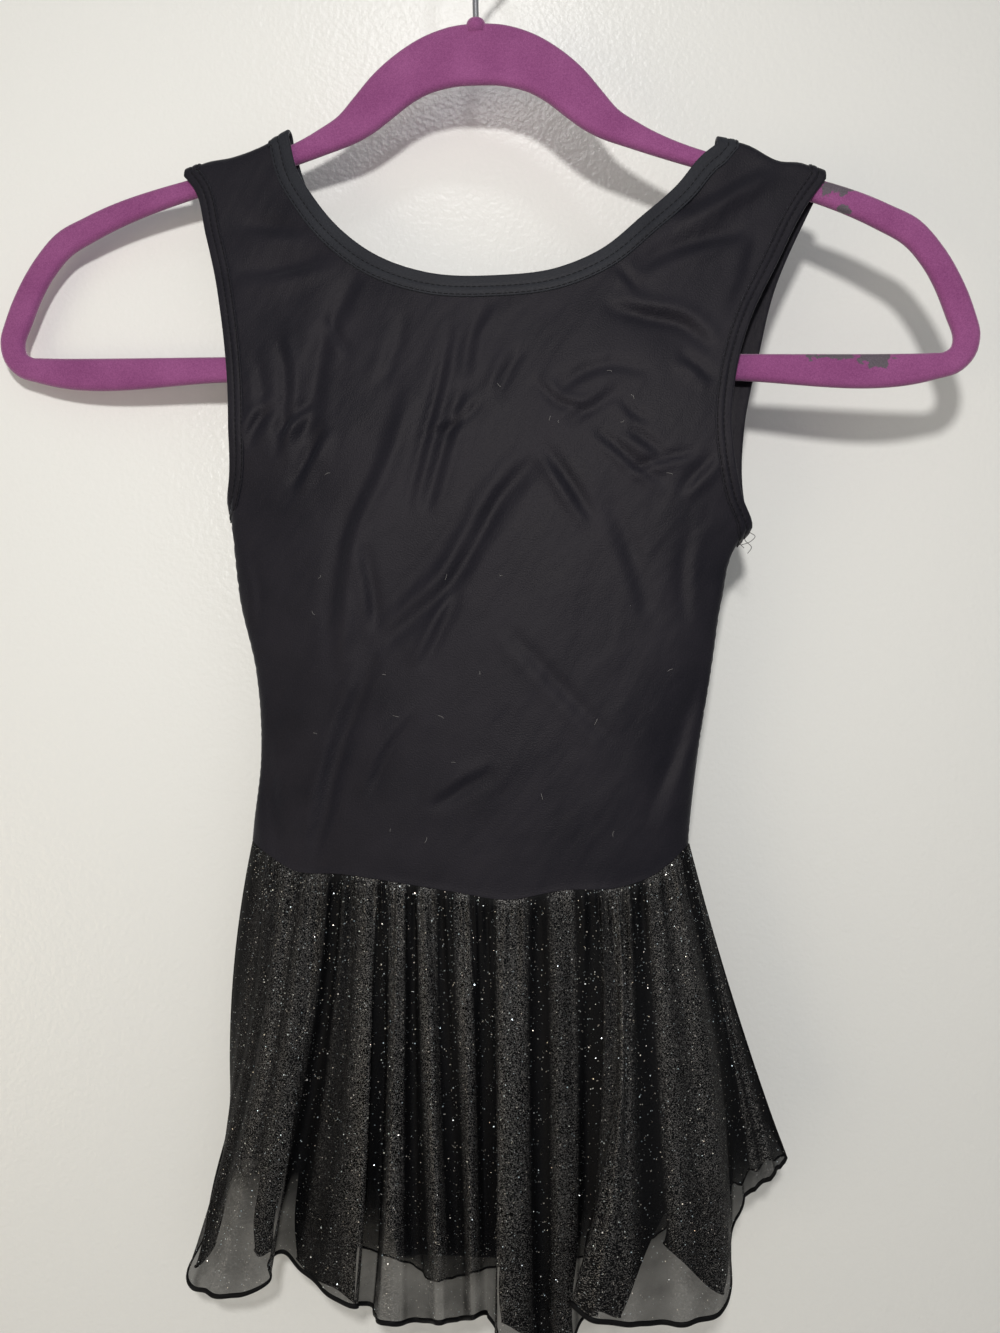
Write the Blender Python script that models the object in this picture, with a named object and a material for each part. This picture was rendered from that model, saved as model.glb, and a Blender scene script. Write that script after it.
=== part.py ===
"""A child's skirted leotard hanging on a slim flocked hanger.

Metres, +Z up. The garment's front faces -Y and +X is to the right in the front view. The origin is
the point inside the top of the hook's loop, where it bears on a rail. Sizes below are in millimetres.
"""

import math

import bpy
import numpy as np
from mathutils import Vector
from mathutils.geometry import delaunay_2d_cdt

MM = 0.001
FRONT, BACK = -1.0, 1.0

# Cloth
WALL = 1.1
BAND_WALL = 1.9
SEAM_GAP = 0.3
WAIST_GAP = 0.45
NECK_BAND_WIDTH = 9.5
ARM_BAND_WIDTH = 7.0
LEG_BAND_WIDTH = 7.5
PANEL_SPACING = 11.0
EDGE_STEP = 7.0
WAIST_POINTS = 44
SIDE_GUIDES = (2.2, 5.5)
STRAIGHT_SPAN = 30.0
# Beside the side seams, the panels keep this much more away from their bands
CORNER_EASE = 0.5
CORNER_POINTS = 4

# Hanger, before it tilts
HANGER_THICKNESS = 5.6
HANGER_TILT = math.radians(0.94)
TILT_CENTRE_Z = -140.0
ARM_START = (73.0, -118.0)
ARM_END = (183.0, -156.4)
BAR_TOP, BAR_BOTTOM = -222.2, -233.8
BOSS_RADIUS, BOSS_TOP, BOSS_HEIGHT = 4.2, -68.0, 8.0
# Right half of the hanger, from its top round to the bar's middle: outer x and z, inner x and z
HANGER_EDGE = (
    (0.0, -71.2, 0.0, -98.9),
    (12.0, -72.4, 10.0, -99.3),
    (24.0, -76.2, 21.0, -101.8),
    (37.0, -83.8, 31.0, -107.0),
    (48.0, -93.2, 40.0, -114.0),
    (57.0, -103.8, 49.0, -120.5),
    (64.5, -112.4, 58.0, -125.0),
    (*ARM_START, 70.0, -129.2),
    (*ARM_END, 178.5, -167.2),
    (196.0, -163.2, 189.5, -173.6),
    (207.0, -175.5, 197.8, -183.0),
    (215.2, -189.5, 203.8, -193.6),
    (221.0, -204.0, 209.0, -206.8),
    (223.6, -214.5, 211.8, -214.7),
    (221.5, -223.8, 211.0, -219.6),
    (215.0, -230.6, 207.6, BAR_TOP + 0.3),
    (205.0, BAR_BOTTOM, 203.0, BAR_TOP),
    (110.0, BAR_BOTTOM, 110.0, BAR_TOP),
    (0.0, BAR_BOTTOM, 0.0, BAR_TOP),
)
WIRE_RADIUS = 1.4
HOOK_INNER_RADIUS = 19.0
# The hook's shank from the boss up into its loop: x, z
HOOK_SHANK = ((0.0, BOSS_TOP + 0.3), (0.0, -58.0), (1.2, -51.0), (5.5, -44.4), (11.3, -38.2))
HOOK_START, HOOK_END = -36.0, 205.0

# The cloth's fold over the hanger's arm
ARM_CLEARANCE = 0.45
FOLD_RADIUS = HANGER_THICKNESS / 2 + ARM_CLEARANCE + WALL / 2
FOLD_ARC = FOLD_RADIUS * math.pi / 2
FOLD_STEPS = 3


def slopes_of(keys, values):
    """Slope of a smooth curve at each key."""
    steps = np.diff(keys)
    rises = np.diff(values) / steps
    inner = (rises[:-1] * steps[1:] + rises[1:] * steps[:-1]) / (steps[:-1] + steps[1:])
    return np.concatenate([rises[:1], inner, rises[-1:]])


def smooth(keys, values, at):
    """Value at one place on the smooth curve through a table's rows, whose keys rise."""
    keys = np.asarray(keys, float)
    values = np.asarray(values, float)
    at = min(max(at, keys[0]), keys[-1])
    i = min(max(int(np.searchsorted(keys, at)) - 1, 0), len(keys) - 2)
    slopes = slopes_of(keys, values)
    step = keys[i + 1] - keys[i]
    t = (at - keys[i]) / step
    rise = values[i + 1] - values[i]
    a = slopes[i] * step - rise
    b = rise - slopes[i + 1] * step
    return values[i] + t * rise + t * (1 - t) * ((1 - t) * a + t * b)


def ease(t):
    t = min(max(t, 0.0), 1.0)
    return t * t * (3 - 2 * t)


def tilted(x, z):
    """A point of the level hanger, after the hanger tilts with its right end down."""
    c, s = math.cos(HANGER_TILT), math.sin(HANGER_TILT)
    up = z - TILT_CENTRE_Z
    return x * c + up * s, TILT_CENTRE_Z - x * s + up * c


# Garment tables, in the photo's pose. Heights are world z, x is to the right.

# Sides of the body: height, left side, right side
SIDES = (
    (-640.0, -106.0, 98.0),
    (-520.0, -104.0, 97.0),
    (-441.0, -103.0, 95.5),
    (-405.0, -99.3, 99.3),
    (-364.0, -102.0, 105.8),
    (-333.0, -109.3, 110.5),
    (-309.0, -112.2, 117.2),
    (-301.0, -113.0, 123.3),
    (-289.0, -114.2, 124.5),
    (-263.0, -118.0, 130.0),
    (-224.0, -124.0, 138.0),
    (-187.0, -131.0, 150.0),
    (-118.0, -152.0, 175.0),
)
UNDERARM_LEFT, UNDERARM_RIGHT = -290.0, -303.0
OPENING_RISE = 38.0

# How far each panel swells in front of or behind the arm: drop below the arm, front, back
SWELL = (
    (0.0, 0.0, 0.0),
    (30.0, 0.9, 0.6),
    (60.0, 4.0, 2.4),
    (110.0, 8.0, 4.6),
    (170.0, 10.0, 6.6),
    (240.0, 11.4, 7.8),
    (330.0, 14.2, 10.4),
)
EDGE_SWELL_SHARE = 0.55
# Power of the section's depth curve: lower is blunter at the side seams
BODY_BLUNT, BRIEF_BLUNT = 0.85, 0.6
ANGLES = np.linspace(0.0, math.pi / 2, 49)
# Distance over which a panel's outward direction is measured
PROBE = 0.2

# How far the cloth stands up off the arm along the shoulder: x, rise
SHOULDER_PUFF = (
    (-134.0, 2.2),
    (-125.0, 2.6),
    (-113.0, 0.5),
    (-98.0, 0.5),
    (-86.0, 2.6),
    (-60.0, 0.0),
    (80.0, 0.0),
    (107.0, 2.6),
    (121.0, 4.2),
    (135.0, 1.6),
    (145.0, 4.0),
    (155.0, 3.0),
)

# Edges of the front and back panels: x, height, from the armhole's or neck's lowest point up
ARMHOLE_FRONT_LEFT = ((-112.6, -277.0), (-111.6, -252.0), (-112.8, -228.0), (-117.5, -194.0),
                      (-124.0, -166.0), (-131.0, -142.0))
ARMHOLE_FRONT_RIGHT = ((119.0, -291.0), (115.2, -277.0), (113.0, -258.0), (114.6, -238.0),
                       (122.5, -209.0), (133.2, -187.0), (147.0, -160.0))
ARMHOLE_BACK_LEFT = ((-110.5, -277.0), (-108.5, -250.0), (-109.5, -222.0), (-114.0, -190.0),
                     (-122.0, -163.0), (-130.0, -142.0))
ARMHOLE_BACK_RIGHT = ((121.0, -289.0), (120.4, -274.0), (121.5, -256.0), (128.0, -222.0),
                      (135.0, -193.0), (148.5, -162.0))
STRAP_LEFT, STRAP_RIGHT = (-134.6, -85.6), (107.6, 155.0)
NECK_FRONT = ((-81.6, -137.0), (-74.7, -148.7), (-61.0, -165.6), (-45.0, -178.0), (-20.0, -187.5),
              (9.0, -189.5), (38.0, -186.5), (56.0, -179.0), (75.0, -163.5), (90.0, -150.0),
              (101.5, -136.5))
NECK_BACK = ((-79.5, -141.0), (-66.0, -165.0), (-50.0, -200.0), (-28.0, -230.0), (8.0, -243.0),
             (44.0, -231.0), (72.0, -200.0), (91.0, -165.0), (102.0, -143.0))

# Waist seam: x, front height, back height
WAIST = (
    (-103.0, -443.0, -443.0),
    (-94.0, -448.0, -443.5),
    (-82.0, -454.5, -445.0),
    (-58.0, -455.6, -449.0),
    (-32.0, -458.6, -453.0),
    (-8.0, -462.0, -455.0),
    (16.0, -465.2, -455.0),
    (40.0, -461.0, -453.0),
    (66.0, -459.6, -448.0),
    (82.0, -453.5, -443.5),
    (90.5, -446.5, -442.0),
    (95.5, -442.0, -442.0),
)

# Large creases of the front: x and height at both ends, half width, depth. A ridge is negative.
CREASES = (
    (-111.0, -181.0, -68.0, -172.0, 8.0, 1.5),
    (-112.0, -160.0, -80.0, -161.0, 7.0, 1.2),
    (-56.0, -184.0, -76.0, -276.0, 8.0, 1.6),
    (-30.0, -244.0, -61.0, -365.0, 9.0, -1.5),
    (28.0, -268.0, -56.0, -362.0, 8.0, 1.6),
    (-56.0, -362.0, -77.0, -452.0, 9.0, 1.7),
    (64.0, -205.0, 103.0, -222.0, 9.0, 1.5),
    (143.0, -142.0, 82.0, -172.0, 8.0, -1.5),
    (104.0, -362.0, 74.0, -438.0, 9.0, 1.3),
)

# Plan of the skirt's front hem from the left seam to the right one. Each row: x at the waist, then
# x, y and z at the hem, and how far the column bows to the right halfway down.
FRONT_FLUTES = (
    (-103.0, -114.5, 8.0, -596.5, -6.0),
    (-98.5, -120.5, 1.5, -614.0, 0.0),
    (-94.5, -131.5, -6.0, -642.0, 8.0),
    (-86.0, -119.5, -17.0, -643.5, 6.0),
    (-74.0, -101.5, -20.0, -642.0, 1.0),
    (-66.0, -94.0, -9.0, -635.5, 2.0),
    (-61.5, -89.5, -2.5, -633.0, 3.0),
    (-57.0, -77.5, -7.0, -637.0, 3.0),
    (-49.5, -61.5, -18.5, -644.0, 2.0),
    (-44.0, -52.0, -11.0, -643.0, 3.0),
    (-41.0, -46.5, -16.0, -643.0, 3.0),
    (-38.5, -43.5, -25.0, -645.0, 3.0),
    (-32.0, -34.0, -29.5, -646.0, 0.0),
    (-26.5, -23.5, -23.0, -646.0, 0.0),
    (-20.5, -12.5, -30.0, -645.0, 0.0),
    (-11.0, -5.5, -22.0, -645.0, 0.0),
    (-4.5, 1.5, -29.0, -644.0, 0.0),
    (2.6, 8.0, -20.0, -646.0, 0.0),
    (16.0, 17.0, -31.0, -653.0, 0.0),
    (27.0, 30.0, -22.0, -657.0, 0.0),
    (41.0, 40.0, -21.5, -656.0, 2.0),
    (49.0, 49.0, -14.5, -647.0, 2.0),
    (54.0, 53.5, -19.5, -640.0, 3.0),
    (56.5, 48.5, -25.5, -634.0, 5.0),
    (58.5, 43.0, -31.0, -632.0, 10.0),
    (61.0, 48.0, -37.0, -633.5, 8.0),
    (66.0, 66.0, -34.0, -638.0, 2.0),
    (73.0, 81.5, -25.5, -642.5, 0.0),
    (80.0, 94.0, -26.0, -641.5, 2.0),
    (87.5, 107.0, -18.5, -640.5, 5.0),
    (90.5, 113.5, -9.0, -635.0, 7.0),
    (92.0, 114.5, 0.0, -620.0, 6.0),
    (93.2, 121.0, 5.0, -605.0, 4.0),
    (94.5, 134.0, 6.5, -594.0, 0.0),
    (95.5, 141.5, 12.0, -589.0, -2.0),
)
# Plan of the skirt's back hem, the same way, from the left seam to the right one
BACK_FLUTES = (
    (-103.0, -114.5, 8.0, -596.5, -6.0),
    (-101.5, -112.0, 12.0, -598.0, -5.0),
    (-96.0, -99.0, 19.0, -603.0, -2.0),
    (-86.0, -83.0, 24.0, -613.0, 0.0),
    (-76.0, -67.0, 15.0, -627.0, 0.0),
    (-64.0, -51.0, 26.0, -641.0, 0.0),
    (-52.0, -36.0, 33.0, -649.0, 0.0),
    (-40.0, -21.0, 22.0, -647.0, 0.0),
    (-27.0, -6.0, 29.0, -651.0, 0.0),
    (-14.0, 9.0, 37.0, -654.0, 0.0),
    (0.0, 25.0, 24.0, -650.0, 0.0),
    (14.0, 41.0, 32.0, -651.0, 0.0),
    (28.0, 57.0, 37.0, -649.0, 0.0),
    (42.0, 73.0, 24.0, -639.0, 0.0),
    (56.0, 91.0, 32.0, -632.0, 0.0),
    (69.0, 107.0, 36.0, -622.0, 0.0),
    (80.0, 119.0, 27.0, -611.0, 0.0),
    (88.0, 131.0, 24.0, -599.0, 0.0),
    (93.0, 139.5, 19.0, -591.5, -2.0),
    (95.5, 141.5, 12.0, -589.0, -2.0),
)
SKIRT_LEVELS = (0.0, 0.05, 0.13, 0.26, 0.43, 0.62, 0.81, 1.0)
FRONT_COLUMNS, BACK_COLUMNS = 122, 86
# Small gathers at the waist seam: how many, how deep, how unevenly spaced, and how near the seams
FRONT_GATHERS, BACK_GATHERS = 22, 20
GATHER_DEPTH = 1.2
GATHER_DRIFT, GATHER_DRIFT_RATE = 0.3, 9.0
GATHER_MARGIN = 0.04

# Brief
BRIEF_INSET = WALL + SEAM_GAP + 0.4
BRIEF_SIDE_INSET = 3.0
BRIEF_TOP_RISE = 3.0
LEG_TOP = -520.0
CROTCH = -632.0
CROTCH_HALF = 31.0
CROTCH_FOLD_RADIUS = 4.5
CROTCH_END = CROTCH + CROTCH_FOLD_RADIUS * (1 - math.pi / 2)
CROTCH_GUIDES = (-14.0, 0.0, 14.0)
BRIEF_SPACING = 17.0
# Leg edge from the crotch up to the side: distance from the middle, height
LEG_EDGE = ((33.0, -621.0), (44.0, -596.0), (62.0, -566.0), (84.0, -538.0))
# Depth of the brief's panels: height, front, back
BRIEF_DEPTH = (
    (-632.0, 4.5, 4.5),
    (-600.0, 5.0, 5.5),
    (-540.0, 5.5, 7.0),
    (-500.0, 7.5, 9.0),
    (-436.0, 14.2, 10.4),
)


def column(table, index):
    return [row[index] for row in table]


def look_up(table, at, index=1):
    return smooth(column(table, 0), column(table, index), at)


def arm_line(x):
    """Height of the hanger's arms at x, bridged level between them."""
    left, right = tilted(-ARM_START[0], ARM_START[1]), tilted(*ARM_START)
    if left[0] < x < right[0]:
        return left[1] + (right[1] - left[1]) * (x - left[0]) / (right[0] - left[0])
    sign = 1.0 if x > 0 else -1.0
    start = right if x > 0 else left
    end = tilted(sign * ARM_END[0], ARM_END[1])
    return start[1] + (end[1] - start[1]) * (x - start[0]) / (end[0] - start[0])


def fold_centre(x):
    """Height of the axis that the cloth folds round on top of the arm."""
    return arm_line(x) - HANGER_THICKNESS / 2 + look_up(SHOULDER_PUFF, x)


def ridge(x):
    """Height coordinate of the shoulder's ridge, measured up along the cloth."""
    return fold_centre(x) + FOLD_ARC


def sides(h):
    return look_up(SIDES, h, 1), look_up(SIDES, h, 2)


def depths(side, x, h, sign):
    """Depth of a panel in its middle and at its edge."""
    drop = max(arm_line(x) - h, 0.0)
    swell = look_up(SWELL, drop, 1 if side == FRONT else 2)
    underarm = UNDERARM_LEFT if sign < 0 else UNDERARM_RIGHT
    opened = ease((h - underarm) / OPENING_RISE)
    return FOLD_RADIUS + swell, opened * (FOLD_RADIUS + EDGE_SWELL_SHARE * swell)


def arc_table(half, bulge, bluntness):
    """Length along a quarter of the body's flattened section, from its middle to each of ANGLES."""
    depth = bulge * np.cos(ANGLES).clip(0.0) ** bluntness
    steps = np.hypot(np.diff(half * np.sin(ANGLES)), np.diff(depth))
    return np.concatenate([[0.0], np.cumsum(steps)])


def crease(x, h):
    """How far the front's large creases push the cloth in at one place."""
    total = 0.0
    for x0, z0, x1, z1, width, depth in CREASES:
        length2 = (x1 - x0) ** 2 + (z1 - z0) ** 2
        t = min(max(((x - x0) * (x1 - x0) + (h - z0) * (z1 - z0)) / length2, 0.0), 1.0)
        off = math.hypot(x - x0 - t * (x1 - x0), h - z0 - t * (z1 - z0)) / width
        total += depth * math.exp(-off * off) * (0.35 + 0.65 * math.sin(math.pi * t))
    return total


def across(side, x, h):
    """Distance from the panel's middle along the cloth, for a place seen at x in the front view."""
    left, right = sides(h)
    middle, half = (left + right) / 2, (right - left) / 2
    sign = 1.0 if x > middle else -1.0
    centre, edge = depths(side, x, h, sign)
    share = min(abs(x - middle) / half, 1.0)
    return sign * float(np.interp(math.asin(share), ANGLES, arc_table(half, centre - edge, BODY_BLUNT)))


def place(side, p, h):
    """The middle of the cloth's wall, p along the cloth from the middle and at height coordinate h."""
    left, right = sides(h)
    middle, half = (left + right) / 2, (right - left) / 2
    sign = 1.0 if p > 0 else -1.0
    near = min(max(middle + p, left), right)
    centre, edge = depths(side, near, h, sign)
    angle = float(np.interp(abs(p), arc_table(half, centre - edge, BODY_BLUNT), ANGLES))
    x = middle + sign * half * math.sin(angle)
    depth = edge + (centre - edge) * max(math.cos(angle), 0.0) ** BODY_BLUNT
    above = h - fold_centre(x)
    if above > 0:
        turn = above / FOLD_RADIUS
        return (x, side * FOLD_RADIUS * math.cos(turn), h - above + FOLD_RADIUS * math.sin(turn))
    if side == FRONT:
        depth -= crease(x, h) * ease(-above / 20.0) * ease(depth / 6.0)
    return (x, side * depth, h)


def body_reach(side, sign, h):
    """Distance along the cloth from the panel's middle to its side."""
    return abs(across(side, sides(h)[0 if sign < 0 else 1], h))


def path_through(points, step):
    """Evenly spaced points, about one step apart, on the smooth curve through some points."""
    points = np.asarray(points, float)
    lengths = np.concatenate([[0.0], np.cumsum(np.linalg.norm(np.diff(points, axis=0), axis=1))])
    count = max(int(round(lengths[-1] / step)), 2)
    places = np.linspace(0.0, lengths[-1], count + 1)
    return np.array([[smooth(lengths, axis, at) for axis in points.T] for at in places])


def moved_in(path, distance, first, last):
    """A flat path moved to its left by a distance. Its ends move along given directions."""
    along = np.gradient(path, axis=0)
    left = np.stack([-along[:, 1], along[:, 0]], axis=1)
    left /= np.linalg.norm(left, axis=1)[:, None]
    left[0], left[-1] = first, last
    return path + distance * left


def on_panel(side, points):
    """Front-view places as places along the cloth."""
    return [(across(side, x, h), h) for x, h in points]


def fold_rows(side, x):
    """Places where a line at x goes over the arm, from the fold's start up to the ridge."""
    arcs = np.linspace(FOLD_ARC, 0.0, FOLD_STEPS + 1)
    return np.array([(across(side, x, ridge(x) - arc), ridge(x) - arc) for arc in arcs])


def armhole_path(side, sign):
    """Armhole edge in cloth coordinates, from the underarm up to where the fold starts."""
    tables = {
        (FRONT, -1): ARMHOLE_FRONT_LEFT,
        (FRONT, 1): ARMHOLE_FRONT_RIGHT,
        (BACK, -1): ARMHOLE_BACK_LEFT,
        (BACK, 1): ARMHOLE_BACK_RIGHT,
    }
    underarm = UNDERARM_LEFT if sign < 0 else UNDERARM_RIGHT
    outer = STRAP_LEFT[0] if sign < 0 else STRAP_RIGHT[1]
    start = (sides(underarm)[0 if sign < 0 else 1], underarm)
    places = (start,) + tables[side, sign] + ((outer, ridge(outer) - FOLD_ARC),)
    return path_through(on_panel(side, places), EDGE_STEP)


def neck_path(side):
    """Neck edge in cloth coordinates, from the left shoulder round to the right one."""
    table = NECK_FRONT if side == FRONT else NECK_BACK
    left, right = STRAP_LEFT[1], STRAP_RIGHT[0]
    ends = [(x, ridge(x) - FOLD_ARC) for x in (left, right)]
    return path_through(on_panel(side, (ends[0],) + table + (ends[1],)), EDGE_STEP)


def finer(path, segment):
    """A path with one of its segments split into three."""
    start, end = path[segment], path[segment + 1]
    more = [start + (end - start) * t for t in (1 / 3, 2 / 3)]
    return np.insert(path, segment + 1, more, axis=0)


def armhole_line(side, sign, distance):
    """A line beside the armhole edge, distance into the panel, from the underarm to the ridge."""
    path = armhole_path(side, sign)
    if sign > 0:
        path = moved_in(path, distance, (0.0, -1.0), (-1.0, 0.0))
    else:
        path = moved_in(path, -distance, (0.0, 1.0), (-1.0, 0.0))
    outer = STRAP_LEFT[0] if sign < 0 else STRAP_RIGHT[1]
    path = finer(path, 0)
    path = [(sign * min(abs(p), body_reach(side, sign, h)), h) for p, h in path]
    return np.concatenate([path[:-1], fold_rows(side, outer - sign * distance)])


def neck_line(side, distance):
    """A line beside the neck edge, distance into the panel, from ridge to ridge."""
    path = moved_in(neck_path(side), -distance, (1.0, 0.0), (-1.0, 0.0))
    left = fold_rows(side, STRAP_LEFT[1] - distance)[::-1]
    right = fold_rows(side, STRAP_RIGHT[0] + distance)
    return np.concatenate([left, path[1:-1], right])


def waist_height(side, x):
    return look_up(WAIST, x, 1 if side == FRONT else 2)


def side_edge(side, sign, low, high):
    """A panel's side seam edge in cloth coordinates, from low to high."""
    count = max(int(round((high - low) / PANEL_SPACING)), 2)
    edge = []
    for h in np.linspace(low, high, count + 1):
        edge.append((sign * (body_reach(side, sign, h) - SEAM_GAP / 2), h))
    return np.array(edge)


def strap_rows(side, strap):
    """Rows of places across a strap, one for each step of its fold over the arm."""
    low, high = strap
    count = max(int(round((high - low) / PANEL_SPACING)), 2)
    return [fold_rows(side, x) for x in np.linspace(low, high, count + 1)]


def panel_straps():
    """Both straps between their bands, as pairs of x."""
    arm_gap, neck_gap = ARM_BAND_WIDTH + SEAM_GAP, NECK_BAND_WIDTH + SEAM_GAP
    left = (STRAP_LEFT[0] + arm_gap, STRAP_LEFT[1] - neck_gap)
    right = (STRAP_RIGHT[0] + neck_gap, STRAP_RIGHT[1] - arm_gap)
    return left, right


def shoulder_edge(side, strap):
    """The panel's edge just below the ridge, from the strap's left end to its right one."""
    edge = np.array([rows[-1] for rows in strap_rows(side, strap)])
    edge[:, 1] -= SEAM_GAP / 2
    return edge


def bodice_outline(side):
    """Outline of a body panel, anticlockwise from the left end of its waist edge."""
    left_low, right_low = waist_height(side, -200.0), waist_height(side, 200.0)
    arm_gap, neck_gap = ARM_BAND_WIDTH + SEAM_GAP, NECK_BAND_WIDTH + SEAM_GAP
    right_arm = armhole_line(side, 1, arm_gap)
    left_arm = armhole_line(side, -1, arm_gap)
    for sign, arm in ((1.0, right_arm), (-1.0, left_arm)):
        arm[:CORNER_POINTS] -= (sign * CORNER_EASE, CORNER_EASE)
    neck = neck_line(side, neck_gap)
    left_strap, right_strap = panel_straps()
    right_side = side_edge(side, 1, right_low + WAIST_GAP / 2, right_arm[0][1])
    left_side = side_edge(side, -1, left_low + WAIST_GAP / 2, left_arm[0][1])
    waist = []
    for share in waist_shares():
        p = left_side[0][0] + (right_side[0][0] - left_side[0][0]) * share
        x = place(side, p, left_low)[0]
        waist.append((p, waist_height(side, x) + WAIST_GAP / 2))
    return np.concatenate([
        waist, right_side, right_arm[1:-1], shoulder_edge(side, right_strap)[::-1],
        neck[1:-1][::-1], shoulder_edge(side, left_strap)[::-1],
        left_arm[1:-1][::-1], left_side[::-1],
    ])


def waist_shares():
    """Where the waist edge has its points, closer together near the side seams."""
    even = np.linspace(-1.0, 1.0, WAIST_POINTS)[1:-1]
    return 0.5 + 0.5 * (0.45 * even + 0.55 * np.sin(even * math.pi / 2))


def guide_points(side, outline):
    """Extra points that keep the panel round over the arm and beside its side seams."""
    points = []
    for strap in panel_straps():
        for rows in strap_rows(side, strap)[1:-1]:
            points += list(rows[:-1])
    for h in np.arange(-440.0, UNDERARM_RIGHT - 14.0, PANEL_SPACING):
        for sign in (-1.0, 1.0):
            reach = body_reach(side, sign, h)
            points += [np.array([sign * (reach - inset), h]) for inset in SIDE_GUIDES]
    return [point for point in points if inside(outline, point) and clear_of(outline, point, 1.5)]


def inside(outline, point):
    x, y = point
    within = False
    for (x0, y0), (x1, y1) in zip(outline, np.roll(outline, -1, axis=0)):
        if (y0 > y) != (y1 > y) and x < x0 + (x1 - x0) * (y - y0) / (y1 - y0):
            within = not within
    return within


def clear_of(outline, point, distance):
    starts, ends = outline, np.roll(outline, -1, axis=0)
    along = ends - starts
    t = ((point - starts) * along).sum(axis=1) / np.maximum((along ** 2).sum(axis=1), 1e-9)
    nearest = starts + np.clip(t, 0.0, 1.0)[:, None] * along
    return np.linalg.norm(point - nearest, axis=1).min() > distance


def triangulated(outline, spacing, guides=()):
    """Points and triangles that fill a flat outline evenly, through some given points."""
    rise = spacing * math.sqrt(0.75)
    low, high = outline.min(axis=0), outline.max(axis=0)
    inner = list(guides)
    taken = np.array(guides) if len(guides) else np.array([[1e6, 1e6]])
    for row in range(int((high[1] - low[1]) / rise) + 1):
        start = low[0] + (row % 2) * spacing / 2
        for step in range(int((high[0] - start) / spacing) + 1):
            point = np.array([start + step * spacing, low[1] + row * rise])
            free = np.linalg.norm(taken - point, axis=1).min() > spacing * 0.5
            if free and inside(outline, point) and clear_of(outline, point, spacing * 0.55):
                inner.append(point)
    points = [Vector(p) for p in outline] + [Vector(p) for p in inner]
    count = len(outline)
    edges = [(i, (i + 1) % count) for i in range(count)]
    result = delaunay_2d_cdt(points, edges, [], 1, 1e-6)
    return [tuple(v) for v in result[0]], result[2]


def material(name, colour, roughness, metallic=0.0):
    made = bpy.data.materials.new(name)
    made.use_nodes = True
    shader = made.node_tree.nodes["Principled BSDF"]
    shader.inputs["Base Color"].default_value = (*colour, 1.0)
    shader.inputs["Roughness"].default_value = roughness
    shader.inputs["Metallic"].default_value = metallic
    return made


def solid(name, points, faces, finish):
    """An object from points in millimetres."""
    mesh = bpy.data.meshes.new(name)
    mesh.from_pydata([[c * MM for c in point] for point in points], [], faces)
    mesh.materials.append(finish)
    mesh.shade_smooth()
    made = bpy.data.objects.new(name, mesh)
    bpy.context.collection.objects.link(made)
    return made


def cloth(name, points, normals, faces, finish, wall=WALL):
    """A sheet of cloth as a solid. Its inner face lies half of WALL inside the points."""
    points, normals = np.asarray(points, float), np.asarray(normals, float)
    count = len(points)
    outer = points + normals * (wall - WALL / 2)
    inner = points - normals * WALL / 2
    edges = {(face[i - 1], face[i]) for face in faces for i in range(len(face))}
    rim = [(b, a, a + count, b + count) for a, b in sorted(edges) if (b, a) not in edges]
    back = [tuple(i + count for i in reversed(face)) for face in faces]
    return solid(name, np.concatenate([outer, inner]), [*map(tuple, faces), *back, *rim], finish)


def on_cloth(where, side, path):
    """Points of a panel and its outward normals, for places in cloth coordinates."""
    points, normals = [], []
    for p, h in path:
        here = np.array(where(side, p, h))
        toward = -PROBE if p > 0 else PROBE
        sideways = (np.array(where(side, p + toward, h)) - here) / toward
        upward = (here - np.array(where(side, p, h - PROBE))) / PROBE
        normal = -side * np.cross(sideways, upward)
        points.append(here)
        normals.append(normal / np.linalg.norm(normal))
    return points, normals


def grid_faces(rows, columns, flip=False):
    """Faces of a grid of points stored row by row."""
    faces = []
    for r in range(rows - 1):
        for c in range(columns - 1):
            a = r * columns + c
            face = (a, a + 1, a + columns + 1, a + columns)
            faces.append(face[::-1] if flip else face)
    return faces


def ring_faces(count, flip):
    """Faces between two rings, each of count points, stored one after the other."""
    faces = []
    for i in range(count):
        j = (i + 1) % count
        face = (i, j, count + j, count + i)
        faces.append(face[::-1] if flip else face)
    return faces


def build_panel(name, where, side, outline, spacing, guides, finish):
    flat, faces = triangulated(outline, spacing, guides)
    points, normals = on_cloth(where, side, flat)
    if side == BACK:
        faces = [face[::-1] for face in faces]
    cloth(name, points, normals, faces, finish)


def build_bodice(name, side, finish):
    outline = bodice_outline(side)
    build_panel(name, place, side, outline, PANEL_SPACING * 1.15, guide_points(side, outline), finish)


def build_ring(name, where, line, width, finish, flip):
    """A turned edge as a ring: line gives the place of each of its long edges on each panel."""
    points, normals = [], []
    for distance in (0.0, width):
        front = on_cloth(where, FRONT, line(FRONT, distance))
        back = on_cloth(where, BACK, line(BACK, distance)[::-1][1:-1])
        points += front[0] + back[0]
        normals += front[1] + back[1]
    faces = ring_faces(len(points) // 2, flip)
    cloth(name, points, normals, faces, finish, BAND_WALL)


def build_armhole_band(name, sign, finish):
    def line(side, distance):
        return armhole_line(side, sign, distance)

    build_ring(name, place, line, ARM_BAND_WIDTH, finish, sign < 0)


def flute_keys(table):
    """Places along the sheet where the table's rows sit, by their mean spacing at waist and hem."""
    waist = np.abs(np.diff(column(table, 0)))
    hem = np.linalg.norm(np.diff([row[1:3] for row in table], axis=0), axis=1)
    return np.concatenate([[0.0], np.cumsum((waist + hem) / 2)])


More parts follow.
